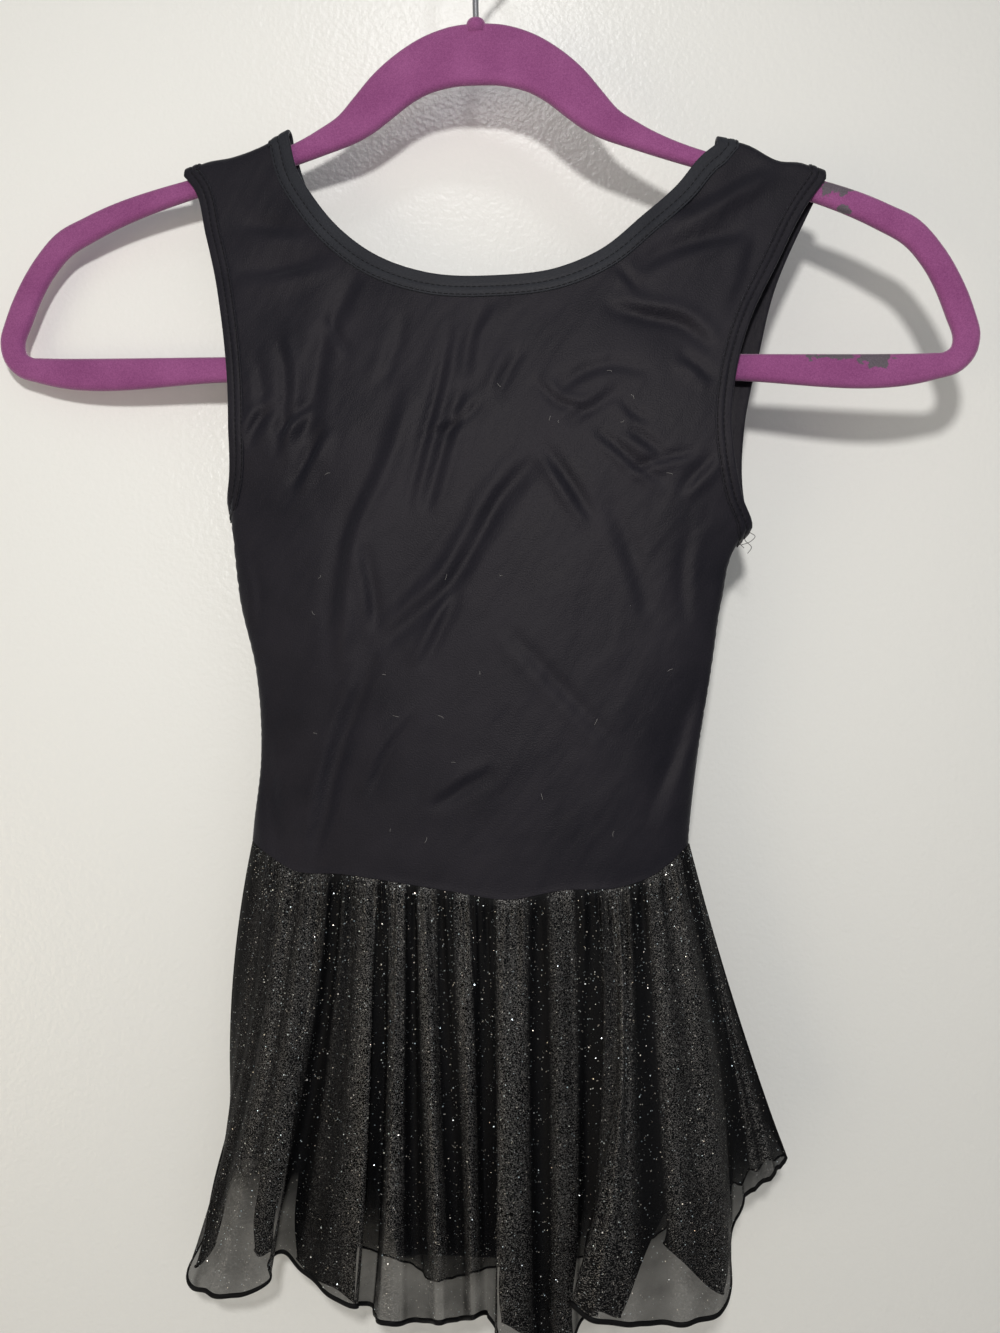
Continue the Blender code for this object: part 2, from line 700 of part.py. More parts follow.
def skirt_base(side, table, levels, columns):
    """The skirt sheet without its small gathers, as rows of points from the waist down."""
    keys = flute_keys(table)
    last = columns - 1
    rows = np.zeros((len(levels), columns, 3))
    for c in range(columns):
        at = keys[-1] * c / last
        waist_x, x, y, z, bow = (smooth(keys, column(table, i), at) for i in range(5))
        h = waist_height(side, waist_x) - WAIST_GAP / 2
        p = across(side, waist_x, h)
        if c in (0, last):
            p = body_reach(side, 1.0, h) if c else -body_reach(side, -1.0, h)
        top = np.array(place(side, p, h))
        hem = np.array([x, y, z])
        for r, level in enumerate(levels):
            rows[r, c] = top + (hem - top) * level
            rows[r, c, 0] += bow * 4 * level * (1 - level)
    return rows


def part_seams(front, back):
    """Parts the two sheets at both side seams. Gives each one's outward directions, shared there."""
    along = {FRONT: np.gradient(front, axis=1), BACK: np.gradient(back, axis=1)}
    for column_index, near, sign in ((0, 1, 1.0), (-1, -2, -1.0)):
        seam = front[:, near] - back[:, near]
        seam[:, 2] = 0.0
        seam /= np.linalg.norm(seam, axis=1)[:, None]
        along[FRONT][:, column_index] = seam * sign
        along[BACK][:, column_index] = -seam * sign
        front[:, column_index] += seam * SEAM_GAP / 2
        back[:, column_index] -= seam * SEAM_GAP / 2
    outward = {}
    for side, rows in ((FRONT, front), (BACK, back)):
        normal = -side * np.cross(np.gradient(rows, axis=0), along[side])
        outward[side] = normal / np.linalg.norm(normal, axis=2)[..., None]
    return outward


def build_skirt(front_name, back_name, finish):
    front = skirt_base(FRONT, FRONT_FLUTES, SKIRT_LEVELS, FRONT_COLUMNS)
    back = skirt_base(BACK, BACK_FLUTES, SKIRT_LEVELS, BACK_COLUMNS)
    directions = part_seams(front, back)
    for name, side, rows, gathers in ((front_name, FRONT, front, FRONT_GATHERS),
                                      (back_name, BACK, back, BACK_GATHERS)):
        outward = directions[side]
        columns = rows.shape[1]
        for c in range(columns):
            t = c / (columns - 1)
            drift = GATHER_DRIFT * math.sin(GATHER_DRIFT_RATE * t)
            wave = math.sin(2 * math.pi * (gathers * t + drift))
            wave *= ease(t / GATHER_MARGIN) * ease((1 - t) / GATHER_MARGIN)
            for r, level in enumerate(SKIRT_LEVELS):
                depth = GATHER_DEPTH * ease(level / 0.06) * (1 - 0.8 * ease(level / 0.8))
                rows[r, c] += outward[r, c] * wave * depth
        faces = grid_faces(len(SKIRT_LEVELS), columns, side == FRONT)
        cloth(name, rows.reshape(-1, 3), outward.reshape(-1, 3), faces, finish)


def brief_size(side, h):
    """Half width and depth of the brief at a height."""
    left, right = sides(h)
    middle, half = (left + right) / 2, (right - left) / 2 - BRIEF_SIDE_INSET
    depth = look_up(BRIEF_DEPTH, h, 1 if side == FRONT else 2) - BRIEF_INSET
    return middle, half, max(depth, CROTCH_FOLD_RADIUS)


def brief_reach(side, h):
    _, half, depth = brief_size(side, h)
    return arc_table(half, depth, BRIEF_BLUNT)[-1]


def brief_place(side, p, h):
    """The middle of the brief's wall, in the same kind of cloth coordinates as the bodice."""
    middle, half, depth = brief_size(side, h)
    angle = float(np.interp(abs(p), arc_table(half, depth, BRIEF_BLUNT), ANGLES))
    x = middle + math.copysign(half * math.sin(angle), p)
    below = CROTCH + CROTCH_FOLD_RADIUS - h
    if below > 0:
        turn = below / CROTCH_FOLD_RADIUS
        return (x, side * CROTCH_FOLD_RADIUS * math.cos(turn),
                h + below - CROTCH_FOLD_RADIUS * math.sin(turn))
    return (x, side * depth * max(math.cos(angle), 0.0) ** BRIEF_BLUNT, h)


def leg_path(side, sign):
    """Leg edge in cloth coordinates, from the crotch seam up to the side seam."""
    places = [(sign * CROTCH_HALF, CROTCH_END)]
    places += [(sign * x, h) for x, h in LEG_EDGE]
    places.append((sign * brief_reach(side, LEG_TOP), LEG_TOP))
    return path_through(places, EDGE_STEP)


def leg_line(side, sign, distance):
    """A line beside the leg edge, distance into the panel, from the crotch seam to the side seam."""
    path = leg_path(side, sign)
    path = moved_in(path, sign * distance, (-1.0, 0.0), (0.0, sign))
    path = finer(path, len(path) - 2)
    return np.array([(sign * min(abs(p), brief_reach(side, h)), h) for p, h in path])


def brief_outline(side):
    """Outline of a brief panel, anticlockwise from the left end of its crotch seam."""
    right = leg_line(side, 1, LEG_BAND_WIDTH + SEAM_GAP)
    left = leg_line(side, -1, LEG_BAND_WIDTH + SEAM_GAP)
    for leg in (right, left):
        leg[0, 1] = CROTCH_END + SEAM_GAP / 2
        leg[-CORNER_POINTS:, 1] += CORNER_EASE
    top = waist_height(BACK, 0.0) if side == BACK else waist_height(FRONT, 16.0)
    edges = []
    for sign, leg in ((1, right), (-1, left)):
        high = waist_height(side, 200.0 * sign) + BRIEF_TOP_RISE
        heights = np.linspace(leg[-1][1], high, 6)
        edges.append([(sign * (brief_reach(side, h) - SEAM_GAP / 2), h) for h in heights])
    right_side, left_side = edges
    waist = []
    for p in np.linspace(right_side[-1][0], left_side[-1][0], 20)[1:-1]:
        x = brief_place(side, p, top)[0]
        waist.append((p, waist_height(side, x) + BRIEF_TOP_RISE))
    return np.concatenate([
        right[:-1], right_side, waist, left_side[::-1], left[:-1][::-1],
    ])


def brief_guides(side, outline):
    """Extra points that keep the brief round beside its side seams and over its crotch."""
    points = []
    for h in np.arange(LEG_TOP + 12.0, -440.0, BRIEF_SPACING * 0.8):
        reach = brief_reach(side, h)
        points += [np.array([sign * (reach - 5.0), h]) for sign in (-1.0, 1.0)]
    for turn in (1.0, 0.6, 0.3):
        h = CROTCH_END + turn * CROTCH_FOLD_RADIUS * math.pi / 2
        points += [np.array([x, h]) for x in CROTCH_GUIDES]
    return [point for point in points if inside(outline, point) and clear_of(outline, point, 1.0)]


def build_brief(name, side, finish):
    outline = brief_outline(side)
    build_panel(name, brief_place, side, outline, BRIEF_SPACING, brief_guides(side, outline), finish)


def build_leg_band(name, sign, finish):
    def line(side, distance):
        return leg_line(side, sign, distance)

    build_ring(name, brief_place, line, LEG_BAND_WIDTH, finish, sign < 0)


def hanger_stations():
    """Outer and inner edge of the hanger's right half, from its top round to the bar's middle."""
    keys = np.concatenate([[0.0], np.cumsum([
        math.dist(a[:2], b[:2]) for a, b in zip(HANGER_EDGE, HANGER_EDGE[1:])
    ])])
    places = []
    for a, b in zip(keys, keys[1:]):
        places += [a] if b - a > STRAIGHT_SPAN else [a, (a + b) / 2]
    places.append(keys[-1])
    return [tuple(smooth(keys, column(HANGER_EDGE, i), at) for i in range(4)) for at in places]


def hanger_section(outer, inner):
    """Round-edged section of the hanger between two points of its plane."""
    outer, inner = np.array(outer), np.array(inner)
    up = (outer - inner) / np.linalg.norm(outer - inner)
    radius = HANGER_THICKNESS / 2
    section = []
    for centre, start in ((outer - up * radius, 0.0), (inner + up * radius, math.pi)):
        for step in range(5):
            angle = start + math.pi * step / 4
            x, z = centre + up * radius * math.sin(angle)
            section.append((x, -radius * math.cos(angle), z - TILT_CENTRE_Z))
    return section


def build_hanger(finish):
    half = hanger_stations()
    loop = half + [(-a, b, -c, d) for a, b, c, d in half[1:-1][::-1]]
    sections = [hanger_section(row[:2], row[2:]) for row in loop]
    around = len(sections[0])
    points = [point for section in sections for point in section]
    faces = []
    for s in range(len(sections)):
        after = (s + 1) % len(sections)
        for i in range(around):
            j = (i + 1) % around
            faces.append((s * around + i, s * around + j, after * around + j, after * around + i))
    body = solid("hanger_body", points, faces, finish)
    body.location = (0.0, 0.0, TILT_CENTRE_Z * MM)
    body.rotation_euler = (0.0, HANGER_TILT, 0.0)
    bpy.ops.mesh.primitive_cylinder_add(vertices=20, radius=BOSS_RADIUS * MM, depth=BOSS_HEIGHT * MM)
    boss = bpy.context.object
    boss.name = "boss_shape"
    boss.location = (0.0, 0.0, (BOSS_TOP - BOSS_HEIGHT / 2) * MM)
    boss.hide_render = True
    boss.display_type = "WIRE"
    join = body.modifiers.new("Boss", "BOOLEAN")
    join.operation = "UNION"
    join.object = boss


def build_hook(finish):
    radius = HOOK_INNER_RADIUS + WIRE_RADIUS
    places = list(HOOK_SHANK)
    for degrees in np.linspace(HOOK_START, HOOK_END, 18):
        angle = math.radians(degrees)
        places.append((radius * math.cos(angle), radius * math.sin(angle) - HOOK_INNER_RADIUS))
    route = path_through(places, 3.6)
    curve = bpy.data.curves.new("hanger_hook", "CURVE")
    curve.dimensions = "3D"
    curve.bevel_depth = WIRE_RADIUS * MM
    curve.bevel_resolution = 2
    curve.use_fill_caps = True
    spline = curve.splines.new("POLY")
    spline.points.add(len(route) - 1)
    for point, (x, z) in zip(spline.points, route):
        point.co = (x * MM, 0.0, z * MM, 1.0)
    curve.materials.append(finish)
    bpy.context.collection.objects.link(bpy.data.objects.new("hanger_hook", curve))


def main():
    for made in list(bpy.data.objects):
        bpy.data.objects.remove(made, do_unlink=True)
    jersey = material("black_jersey", (0.012, 0.011, 0.013), 0.6)
    mesh_cloth = material("glitter_mesh", (0.02, 0.02, 0.021), 0.5)
    flock = material("purple_flock", (0.3, 0.053, 0.235), 0.9)
    steel = material("hook_steel", (0.6, 0.6, 0.6), 0.3, 1.0)
    build_hanger(flock)
    build_hook(steel)
    build_bodice("bodice_front", FRONT, jersey)
    build_bodice("bodice_back", BACK, jersey)
    build_ring("neck_band", place, neck_line, NECK_BAND_WIDTH, jersey, True)
    build_armhole_band("armhole_band_left", -1, jersey)
    build_armhole_band("armhole_band_right", 1, jersey)
    build_skirt("skirt_front", "skirt_back", mesh_cloth)
    build_brief("brief_front", FRONT, jersey)
    build_brief("brief_back", BACK, jersey)
    build_leg_band("leg_band_left", -1, jersey)
    build_leg_band("leg_band_right", 1, jersey)


main()
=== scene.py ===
# %% [markdown]
# A child's skirted dance leotard on a slim flocked hanger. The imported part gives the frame, and
# every piece below is laid on the same curves that the part's solids were cut from.

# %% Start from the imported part
import math

import bpy
import numpy as np
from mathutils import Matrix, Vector
from mathutils.geometry import delaunay_2d_cdt


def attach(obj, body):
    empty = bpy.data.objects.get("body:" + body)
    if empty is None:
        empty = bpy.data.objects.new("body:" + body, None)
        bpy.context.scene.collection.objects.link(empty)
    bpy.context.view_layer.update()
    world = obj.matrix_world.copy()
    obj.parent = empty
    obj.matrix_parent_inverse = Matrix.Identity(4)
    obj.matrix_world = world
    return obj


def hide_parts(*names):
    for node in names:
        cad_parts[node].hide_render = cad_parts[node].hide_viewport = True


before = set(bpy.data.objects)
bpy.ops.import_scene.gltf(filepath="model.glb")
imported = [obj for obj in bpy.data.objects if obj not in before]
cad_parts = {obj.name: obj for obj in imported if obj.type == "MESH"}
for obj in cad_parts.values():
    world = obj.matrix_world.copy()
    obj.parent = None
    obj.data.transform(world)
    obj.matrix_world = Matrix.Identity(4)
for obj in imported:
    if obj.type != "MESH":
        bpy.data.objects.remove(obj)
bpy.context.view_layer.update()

# %% [markdown]
# All drafting is done in millimetres, as a pattern cutter would, and turned into metres when a
# mesh is made. A smooth curve through a few measured rows replaces hundreds of typed points.

# %% Smooth curves through measured rows
MM = 0.001
FRONT, BACK = -1.0, 1.0


def slopes_of(keys, values):
    """Slope of a smooth curve at each key."""
    steps = np.diff(keys)
    rises = np.diff(values) / steps
    inner = (rises[:-1] * steps[1:] + rises[1:] * steps[:-1]) / (steps[:-1] + steps[1:])
    return np.concatenate([rises[:1], inner, rises[-1:]])


def smooth(keys, values, at):
    """Values at some places on the smooth curve through a table's rows."""
    keys, values = np.asarray(keys, float), np.asarray(values, float)
    at = np.clip(at, keys[0], keys[-1])
    i = np.clip(np.searchsorted(keys, at) - 1, 0, len(keys) - 2)
    slopes = slopes_of(keys, values)
    step = keys[i + 1] - keys[i]
    t = (at - keys[i]) / step
    rise = values[i + 1] - values[i]
    a = slopes[i] * step - rise
    b = rise - slopes[i + 1] * step
    return values[i] + t * rise + t * (1 - t) * ((1 - t) * a + t * b)


def look_up(table, at, column=1):
    rows = np.asarray(table, float)
    return smooth(rows[:, 0], rows[:, column], at)


def ease(t):
    t = np.clip(t, 0.0, 1.0)
    return t * t * (3 - 2 * t)


def unit(vectors):
    return vectors / np.linalg.norm(vectors, axis=-1, keepdims=True)


def path_through(points, step):
    """Evenly spaced points, about one step apart, on the smooth curve through some points."""
    points = np.asarray(points, float)
    lengths = np.concatenate([[0.0], np.cumsum(np.linalg.norm(np.diff(points, axis=0), axis=1))])
    count = max(int(round(lengths[-1] / step)), 2)
    places = np.linspace(0.0, lengths[-1], count + 1)
    return np.stack([smooth(lengths, axis, places) for axis in points.T], axis=1)


print("curve check", float(smooth([0, 1, 2], [0, 1, 4], 1.5)))

# %% [markdown]
# The leotard hangs from the hanger's two arms, so the arms' slope is the first measurement. The
# hanger itself has swung a little, with its right end down.

# %% The hanger's arms
HANGER_THICKNESS = 5.6
HANGER_TILT = math.radians(0.94)
TILT_CENTRE_Z = -140.0
ARM_START, ARM_END = (73.0, -118.0), (183.0, -156.4)


def tilted(x, z):
    """A point of the level hanger, after the hanger tilts with its right end down."""
    c, s = math.cos(HANGER_TILT), math.sin(HANGER_TILT)
    return x * c + (z - TILT_CENTRE_Z) * s, TILT_CENTRE_Z - x * s + (z - TILT_CENTRE_Z) * c


ARM_POINTS = np.array([
    tilted(-ARM_END[0], ARM_END[1]), tilted(-ARM_START[0], ARM_START[1]),
    tilted(*ARM_START), tilted(*ARM_END),
])


def arm_line(x):
    """Height of the arms at x, bridged level between them."""
    return np.interp(x, ARM_POINTS[:, 0], ARM_POINTS[:, 1])


print("arm heights at the straps", np.round(arm_line(np.array([-110.0, 130.0])), 1))

# %% [markdown]
# The body is a tube of knit, pressed nearly flat by its own weight. Its tables give where its
# sides run in the front view and how far the front and back swell away from the arm.

# %% Body tables
ARM_CLEARANCE, PANEL_WALL = 0.45, 1.1
FOLD_RADIUS = HANGER_THICKNESS / 2 + ARM_CLEARANCE + PANEL_WALL / 2
FOLD_ARC = FOLD_RADIUS * math.pi / 2
SIDES = (
    (-640.0, -106.0, 98.0), (-520.0, -104.0, 97.0), (-441.0, -103.0, 95.5), (-405.0, -99.3, 99.3),
    (-364.0, -102.0, 105.8), (-333.0, -109.3, 110.5), (-309.0, -112.2, 117.2),
    (-301.0, -113.0, 123.3), (-289.0, -114.2, 124.5), (-263.0, -118.0, 130.0),
    (-224.0, -124.0, 138.0), (-187.0, -131.0, 150.0), (-118.0, -152.0, 175.0),
)
UNDERARM_LEFT, UNDERARM_RIGHT, OPENING_RISE = -290.0, -303.0, 38.0
SWELL = (
    (0.0, 0.0, 0.0), (30.0, 0.9, 0.6), (60.0, 4.0, 2.4), (110.0, 8.0, 4.6), (170.0, 10.0, 6.6),
    (240.0, 11.4, 7.8), (330.0, 14.2, 10.4),
)
EDGE_SWELL_SHARE = 0.55
CREASE_END_SHARE = 0.35
BODY_BLUNT, BRIEF_BLUNT = 0.85, 0.6
SHOULDER_PUFF = (
    (-134.0, 2.2), (-125.0, 2.6), (-113.0, 0.5), (-98.0, 0.5), (-86.0, 2.6), (-60.0, 0.0),
    (80.0, 0.0), (107.0, 2.6), (121.0, 4.2), (135.0, 1.6), (145.0, 4.0), (155.0, 3.0),
)
LARGE_CREASES = (
    (-111.0, -181.0, -68.0, -172.0, 8.0, 1.5), (-112.0, -160.0, -80.0, -161.0, 7.0, 1.2),
    (-56.0, -184.0, -76.0, -276.0, 8.0, 1.6), (-30.0, -244.0, -61.0, -365.0, 9.0, -1.5),
    (28.0, -268.0, -56.0, -362.0, 8.0, 1.6), (-56.0, -362.0, -77.0, -452.0, 9.0, 1.7),
    (64.0, -205.0, 103.0, -222.0, 9.0, 1.5), (143.0, -142.0, 82.0, -172.0, 8.0, -1.5),
    (104.0, -362.0, 74.0, -438.0, 9.0, 1.3),
)


def fold_centre(x):
    """Height of the axis that the cloth folds round on top of the arm."""
    return arm_line(x) - HANGER_THICKNESS / 2 + look_up(SHOULDER_PUFF, x)


def ridge(x):
    return fold_centre(x) + FOLD_ARC


def sides(h):
    return look_up(SIDES, h, 1), look_up(SIDES, h, 2)


print("chest", [round(float(v), 1) for v in sides(-300.0)], "fold radius", round(FOLD_RADIUS, 2))

# %% [markdown]
# A place on the cloth is named by how far it lies along the cloth from the middle and by its
# height. The section across the body is a flattened arc, so length along it is added up once for
# each height and read back, and the cloth keeps its true width round the sides.

# %% From cloth places to points in space
ANGLES = np.linspace(0.0, math.pi / 2, 49)
PROBE = 0.2


def arc_tables(half, bulge, bluntness):
    """Length along a quarter of each flattened section, from its middle to each of ANGLES."""
    depth = bulge[:, None] * np.cos(ANGLES).clip(0.0) ** bluntness
    steps = np.hypot(np.diff(half[:, None] * np.sin(ANGLES), axis=1), np.diff(depth, axis=1))
    return np.concatenate([np.zeros((len(half), 1)), np.cumsum(steps, axis=1)], axis=1)


def length_at(tables, angle):
    at = angle / ANGLES[1]
    i = np.clip(at.astype(int), 0, len(ANGLES) - 2)
    rows = np.arange(len(angle))
    return tables[rows, i] + (tables[rows, i + 1] - tables[rows, i]) * (at - i)


def angle_at(tables, length):
    rows = np.arange(len(length))
    length = np.clip(length, 0.0, tables[:, -1])
    i = np.clip((tables <= length[:, None]).sum(axis=1) - 1, 0, len(ANGLES) - 2)
    share = (length - tables[rows, i]) / (tables[rows, i + 1] - tables[rows, i])
    return ANGLES[i] + share * ANGLES[1]


def depths(side, x, h, sign):
    """Depth of a panel in its middle and at its edge."""
    swell = look_up(SWELL, np.maximum(arm_line(x) - h, 0.0), 1 if side == FRONT else 2)
    underarm = np.where(sign < 0, UNDERARM_LEFT, UNDERARM_RIGHT)
    opened = ease((h - underarm) / OPENING_RISE)
    return FOLD_RADIUS + swell, opened * (FOLD_RADIUS + EDGE_SWELL_SHARE * swell)


def straight_creases(x, h):
    """The front's large creases, which the part's solid has too."""
    total = np.zeros_like(x)
    for x0, z0, x1, z1, width, depth in LARGE_CREASES:
        length2 = (x1 - x0) ** 2 + (z1 - z0) ** 2
        t = np.clip(((x - x0) * (x1 - x0) + (h - z0) * (z1 - z0)) / length2, 0.0, 1.0)
        off = np.hypot(x - x0 - t * (x1 - x0), h - z0 - t * (z1 - z0)) / width
        along = CREASE_END_SHARE + (1 - CREASE_END_SHARE) * np.sin(math.pi * t)
        total += depth * np.exp(-off * off) * along
    return total


def arrays(*values):
    return np.broadcast_arrays(*[np.atleast_1d(np.asarray(v, float)) for v in values])


def across(side, x, h):
    """Distance along the cloth from the panel's middle, for places seen at x in the front view."""
    x, h = arrays(x, h)
    left, right = sides(h)
    middle, half = (left + right) / 2, (right - left) / 2
    sign = np.where(x > middle, 1.0, -1.0)
    centre, edge = depths(side, x, h, sign)
    angle = np.arcsin(np.minimum(np.abs(x - middle) / half, 1.0))
    return sign * length_at(arc_tables(half, centre - edge, BODY_BLUNT), angle)


def place(side, p, h):
    """The middle of the cloth's wall at some cloth places, as rows of x, y and z."""
    p, h = arrays(p, h)
    left, right = sides(h)
    middle, half = (left + right) / 2, (right - left) / 2
    sign = np.where(p > 0, 1.0, -1.0)
    centre, edge = depths(side, np.clip(middle + p, left, right), h, sign)
    angle = angle_at(arc_tables(half, centre - edge, BODY_BLUNT), np.abs(p))
    x = middle + sign * half * np.sin(angle)
    depth = edge + (centre - edge) * np.cos(angle).clip(0.0) ** BODY_BLUNT
    above = h - fold_centre(x)
    if side == FRONT:
        depth = depth - straight_creases(x, h) * ease(-above / 20.0) * ease(depth / 6.0)
    turn = np.maximum(above, 0.0) / FOLD_RADIUS
    y = np.where(above > 0, FOLD_RADIUS * np.cos(turn), depth)
    z = np.where(above > 0, h - above + FOLD_RADIUS * np.sin(turn), h)
    return np.stack([x, side * y, z], axis=1)


def body_reach(side, sign, h):
    """Distance along the cloth from the panel's middle to its side."""
    return np.abs(across(side, sides(h)[0 if sign < 0 else 1], h))


def with_normals(where, side, places):
    """Points in space and outward directions, for rows of cloth places."""
    p, h = np.asarray(places, float).T
    here = where(side, p, h)
    toward = np.where(p > 0, -PROBE, PROBE)
    sideways = (where(side, p + toward, h) - here) / toward[:, None]
    upward = (here - where(side, p, h - PROBE)) / PROBE
    return here, unit(-side * np.cross(sideways, upward))


print("front middle at the chest", np.round(place(FRONT, 0.0, -300.0), 1).tolist())

# %% [markdown]
# The armholes and the neck were cut before the bands were sewn on. Each edge is one smooth path,
# and a band or a panel takes a line at its own distance from that edge.

# %% Armhole and neck edges
ARMHOLES = {
    (FRONT, -1): ((-112.6, -277.0), (-111.6, -252.0), (-112.8, -228.0), (-117.5, -194.0),
                  (-124.0, -166.0), (-131.0, -142.0)),
    (FRONT, 1): ((119.0, -291.0), (115.2, -277.0), (113.0, -258.0), (114.6, -238.0),
                 (122.5, -209.0), (133.2, -187.0), (147.0, -160.0)),
    (BACK, -1): ((-110.5, -277.0), (-108.5, -250.0), (-109.5, -222.0), (-114.0, -190.0),
                 (-122.0, -163.0), (-130.0, -142.0)),
    (BACK, 1): ((121.0, -289.0), (120.4, -274.0), (121.5, -256.0), (128.0, -222.0),
                (135.0, -193.0), (148.5, -162.0)),
}
NECK = {
    FRONT: ((-81.6, -137.0), (-74.7, -148.7), (-61.0, -165.6), (-45.0, -178.0), (-20.0, -187.5),
            (9.0, -189.5), (38.0, -186.5), (56.0, -179.0), (75.0, -163.5), (90.0, -150.0),
            (101.5, -136.5)),
    BACK: ((-79.5, -141.0), (-66.0, -165.0), (-50.0, -200.0), (-28.0, -230.0), (8.0, -243.0),
           (44.0, -231.0), (72.0, -200.0), (91.0, -165.0), (102.0, -143.0)),
}
STRAP_LEFT, STRAP_RIGHT = (-134.6, -85.6), (107.6, 155.0)
NECK_BAND_WIDTH, ARM_BAND_WIDTH, LEG_BAND_WIDTH = 9.5, 7.0, 7.5
EDGE_STEP, FOLD_STEPS = 2.0, 7


def moved_in(path, distance, first, last):
    """A flat path moved to its left. Its ends move along given directions."""
    along = np.gradient(path, axis=0)
    left = unit(np.stack([-along[:, 1], along[:, 0]], axis=1))
    left[0], left[-1] = first, last
    return path + distance * left


def on_panel(side, points):
    x, h = np.asarray(points, float).T
    return np.stack([across(side, x, h), h], axis=1)


def fold_rows(side, x):
    """Places where a line at x goes over the arm, from the fold's start up to the ridge."""
    heights = ridge(x) - np.linspace(FOLD_ARC, 0.0, FOLD_STEPS + 1)
    return np.stack([across(side, x, heights), heights], axis=1)


def armhole_line(side, sign, distance):
    """A line beside the armhole edge, distance into the panel, from the underarm to the ridge."""
    underarm = UNDERARM_LEFT if sign < 0 else UNDERARM_RIGHT
    outer = STRAP_LEFT[0] if sign < 0 else STRAP_RIGHT[1]
    start = (sides(underarm)[0 if sign < 0 else 1], underarm)
    places = (start,) + ARMHOLES[side, sign] + ((outer, ridge(outer) - FOLD_ARC),)
    path = path_through(on_panel(side, places), EDGE_STEP)
    path = moved_in(path, sign * distance, (0.0, -sign), (-1.0, 0.0))
    path[:, 0] = sign * np.minimum(np.abs(path[:, 0]), body_reach(side, sign, path[:, 1]))
    return np.concatenate([path[:-1], fold_rows(side, outer - sign * distance)])


def neck_line(side, distance):
    """A line beside the neck edge, distance into the panel, from ridge to ridge."""
    ends = [(x, float(ridge(x)) - FOLD_ARC) for x in (STRAP_LEFT[1], STRAP_RIGHT[0])]
    path = path_through(on_panel(side, (ends[0],) + NECK[side] + (ends[1],)), EDGE_STEP)
    path = moved_in(path, -distance, (1.0, 0.0), (-1.0, 0.0))
    left = fold_rows(side, STRAP_LEFT[1] - distance)[::-1]
    right = fold_rows(side, STRAP_RIGHT[0] + distance)
    return np.concatenate([left, path[1:-1], right])


print("neck edge points", len(neck_line(FRONT, 0.0)), "armhole", len(armhole_line(FRONT, 1, 0.0)))

# %% [markdown]
# Every sheet is filled with evenly spaced points and joined into triangles, which follow a curved
# edge better than a grid does. The mesh keeps its cloth places as a UV map in metres, so that knit
# and weave run along the cloth.

# %% Filling an outline and making meshes
def inside(outline, points):
    x, y = points.T
    within = np.zeros(len(points), bool)
    for (x0, y0), (x1, y1) in zip(outline, np.roll(outline, -1, axis=0)):
        if y0 != y1:
            within ^= ((y0 > y) != (y1 > y)) & (x < x0 + (x1 - x0) * (y - y0) / (y1 - y0))
    return within


def edge_distance(outline, points):
    nearest = np.full(len(points), 1e9)
    for start, end in zip(outline, np.roll(outline, -1, axis=0)):
        along = end - start
        t = np.clip(((points - start) @ along) / max(along @ along, 1e-9), 0.0, 1.0)
        nearest = np.minimum(nearest, np.linalg.norm(points - start - t[:, None] * along, axis=1))
    return nearest


def filled(outline, spacing, guides=None):
    """Flat places and triangles that fill an outline evenly."""
    low, high = outline.min(axis=0), outline.max(axis=0)
    rise = spacing * math.sqrt(0.75)
    rows = np.arange(low[1], high[1], rise)
    grid = np.array([(low[0] + (r % 2) * spacing / 2 + x, y) for r, y in enumerate(rows)
                     for x in np.arange(0.0, high[0] - low[0], spacing)])
    grid = grid[inside(outline, grid)]
    grid = grid[edge_distance(outline, grid) > spacing * 0.5]
    if guides is not None:
        guides = guides[inside(outline, guides)]
        guides = guides[edge_distance(outline, guides) > 0.4]
        gaps = np.linalg.norm(grid[:, None] - guides[None], axis=2).min(axis=1)
        grid = np.concatenate([guides, grid[gaps > spacing * 0.5]])
    places = np.concatenate([outline, grid])
    count = len(outline)
    edges = [(i, (i + 1) % count) for i in range(count)]
    result = delaunay_2d_cdt([Vector(p) for p in places], edges, [], 1, 1e-6)
    return np.array([tuple(v) for v in result[0]]), [tuple(f) for f in result[2]]


def make_mesh(name, points, faces, uv=None):
    """An object with smooth faces, from points in millimetres."""
    mesh = bpy.data.meshes.new(name)
    mesh.from_pydata((np.asarray(points) * MM).tolist(), [], faces)
    mesh.shade_smooth()
    if uv is not None:
        layer = mesh.uv_layers.new(name="cloth")
        corners = np.empty(len(mesh.loops), np.int32)
        mesh.loops.foreach_get("vertex_index", corners)
        layer.data.foreach_set("uv", (np.asarray(uv) * MM)[corners].astype(np.float32).ravel())
    made = bpy.data.objects.new(name, mesh)
    bpy.context.collection.objects.link(made)
    return made


CLOTH_HALF = 0.35


def make_cloth(name, side, points, normals, faces, uv):
    """A closed thin sheet, as thick on either side of some points."""
    if side == BACK:
        faces = [face[::-1] for face in faces]
    count = len(points)
    edges = {(face[i - 1], face[i]) for face in faces for i in range(len(face))}
    rim = [(b, a, a + count, b + count) for a, b in sorted(edges) if (b, a) not in edges]
    back = [tuple(i + count for i in reversed(face)) for face in faces]
    both = np.concatenate([points + normals * CLOTH_HALF, points - normals * CLOTH_HALF])
    made = make_mesh(name, both, [*faces, *back, *rim], np.concatenate([uv, uv]))
    turns = {tuple(sorted(pair)) for b, a, a_in, b_in in rim for pair in ((a, b), (a_in, b_in))}
    for edge in made.data.edges:
        edge.use_edge_sharp = tuple(sorted(edge.vertices)) in turns
    print(name, len(made.data.polygons), "faces")
    return made


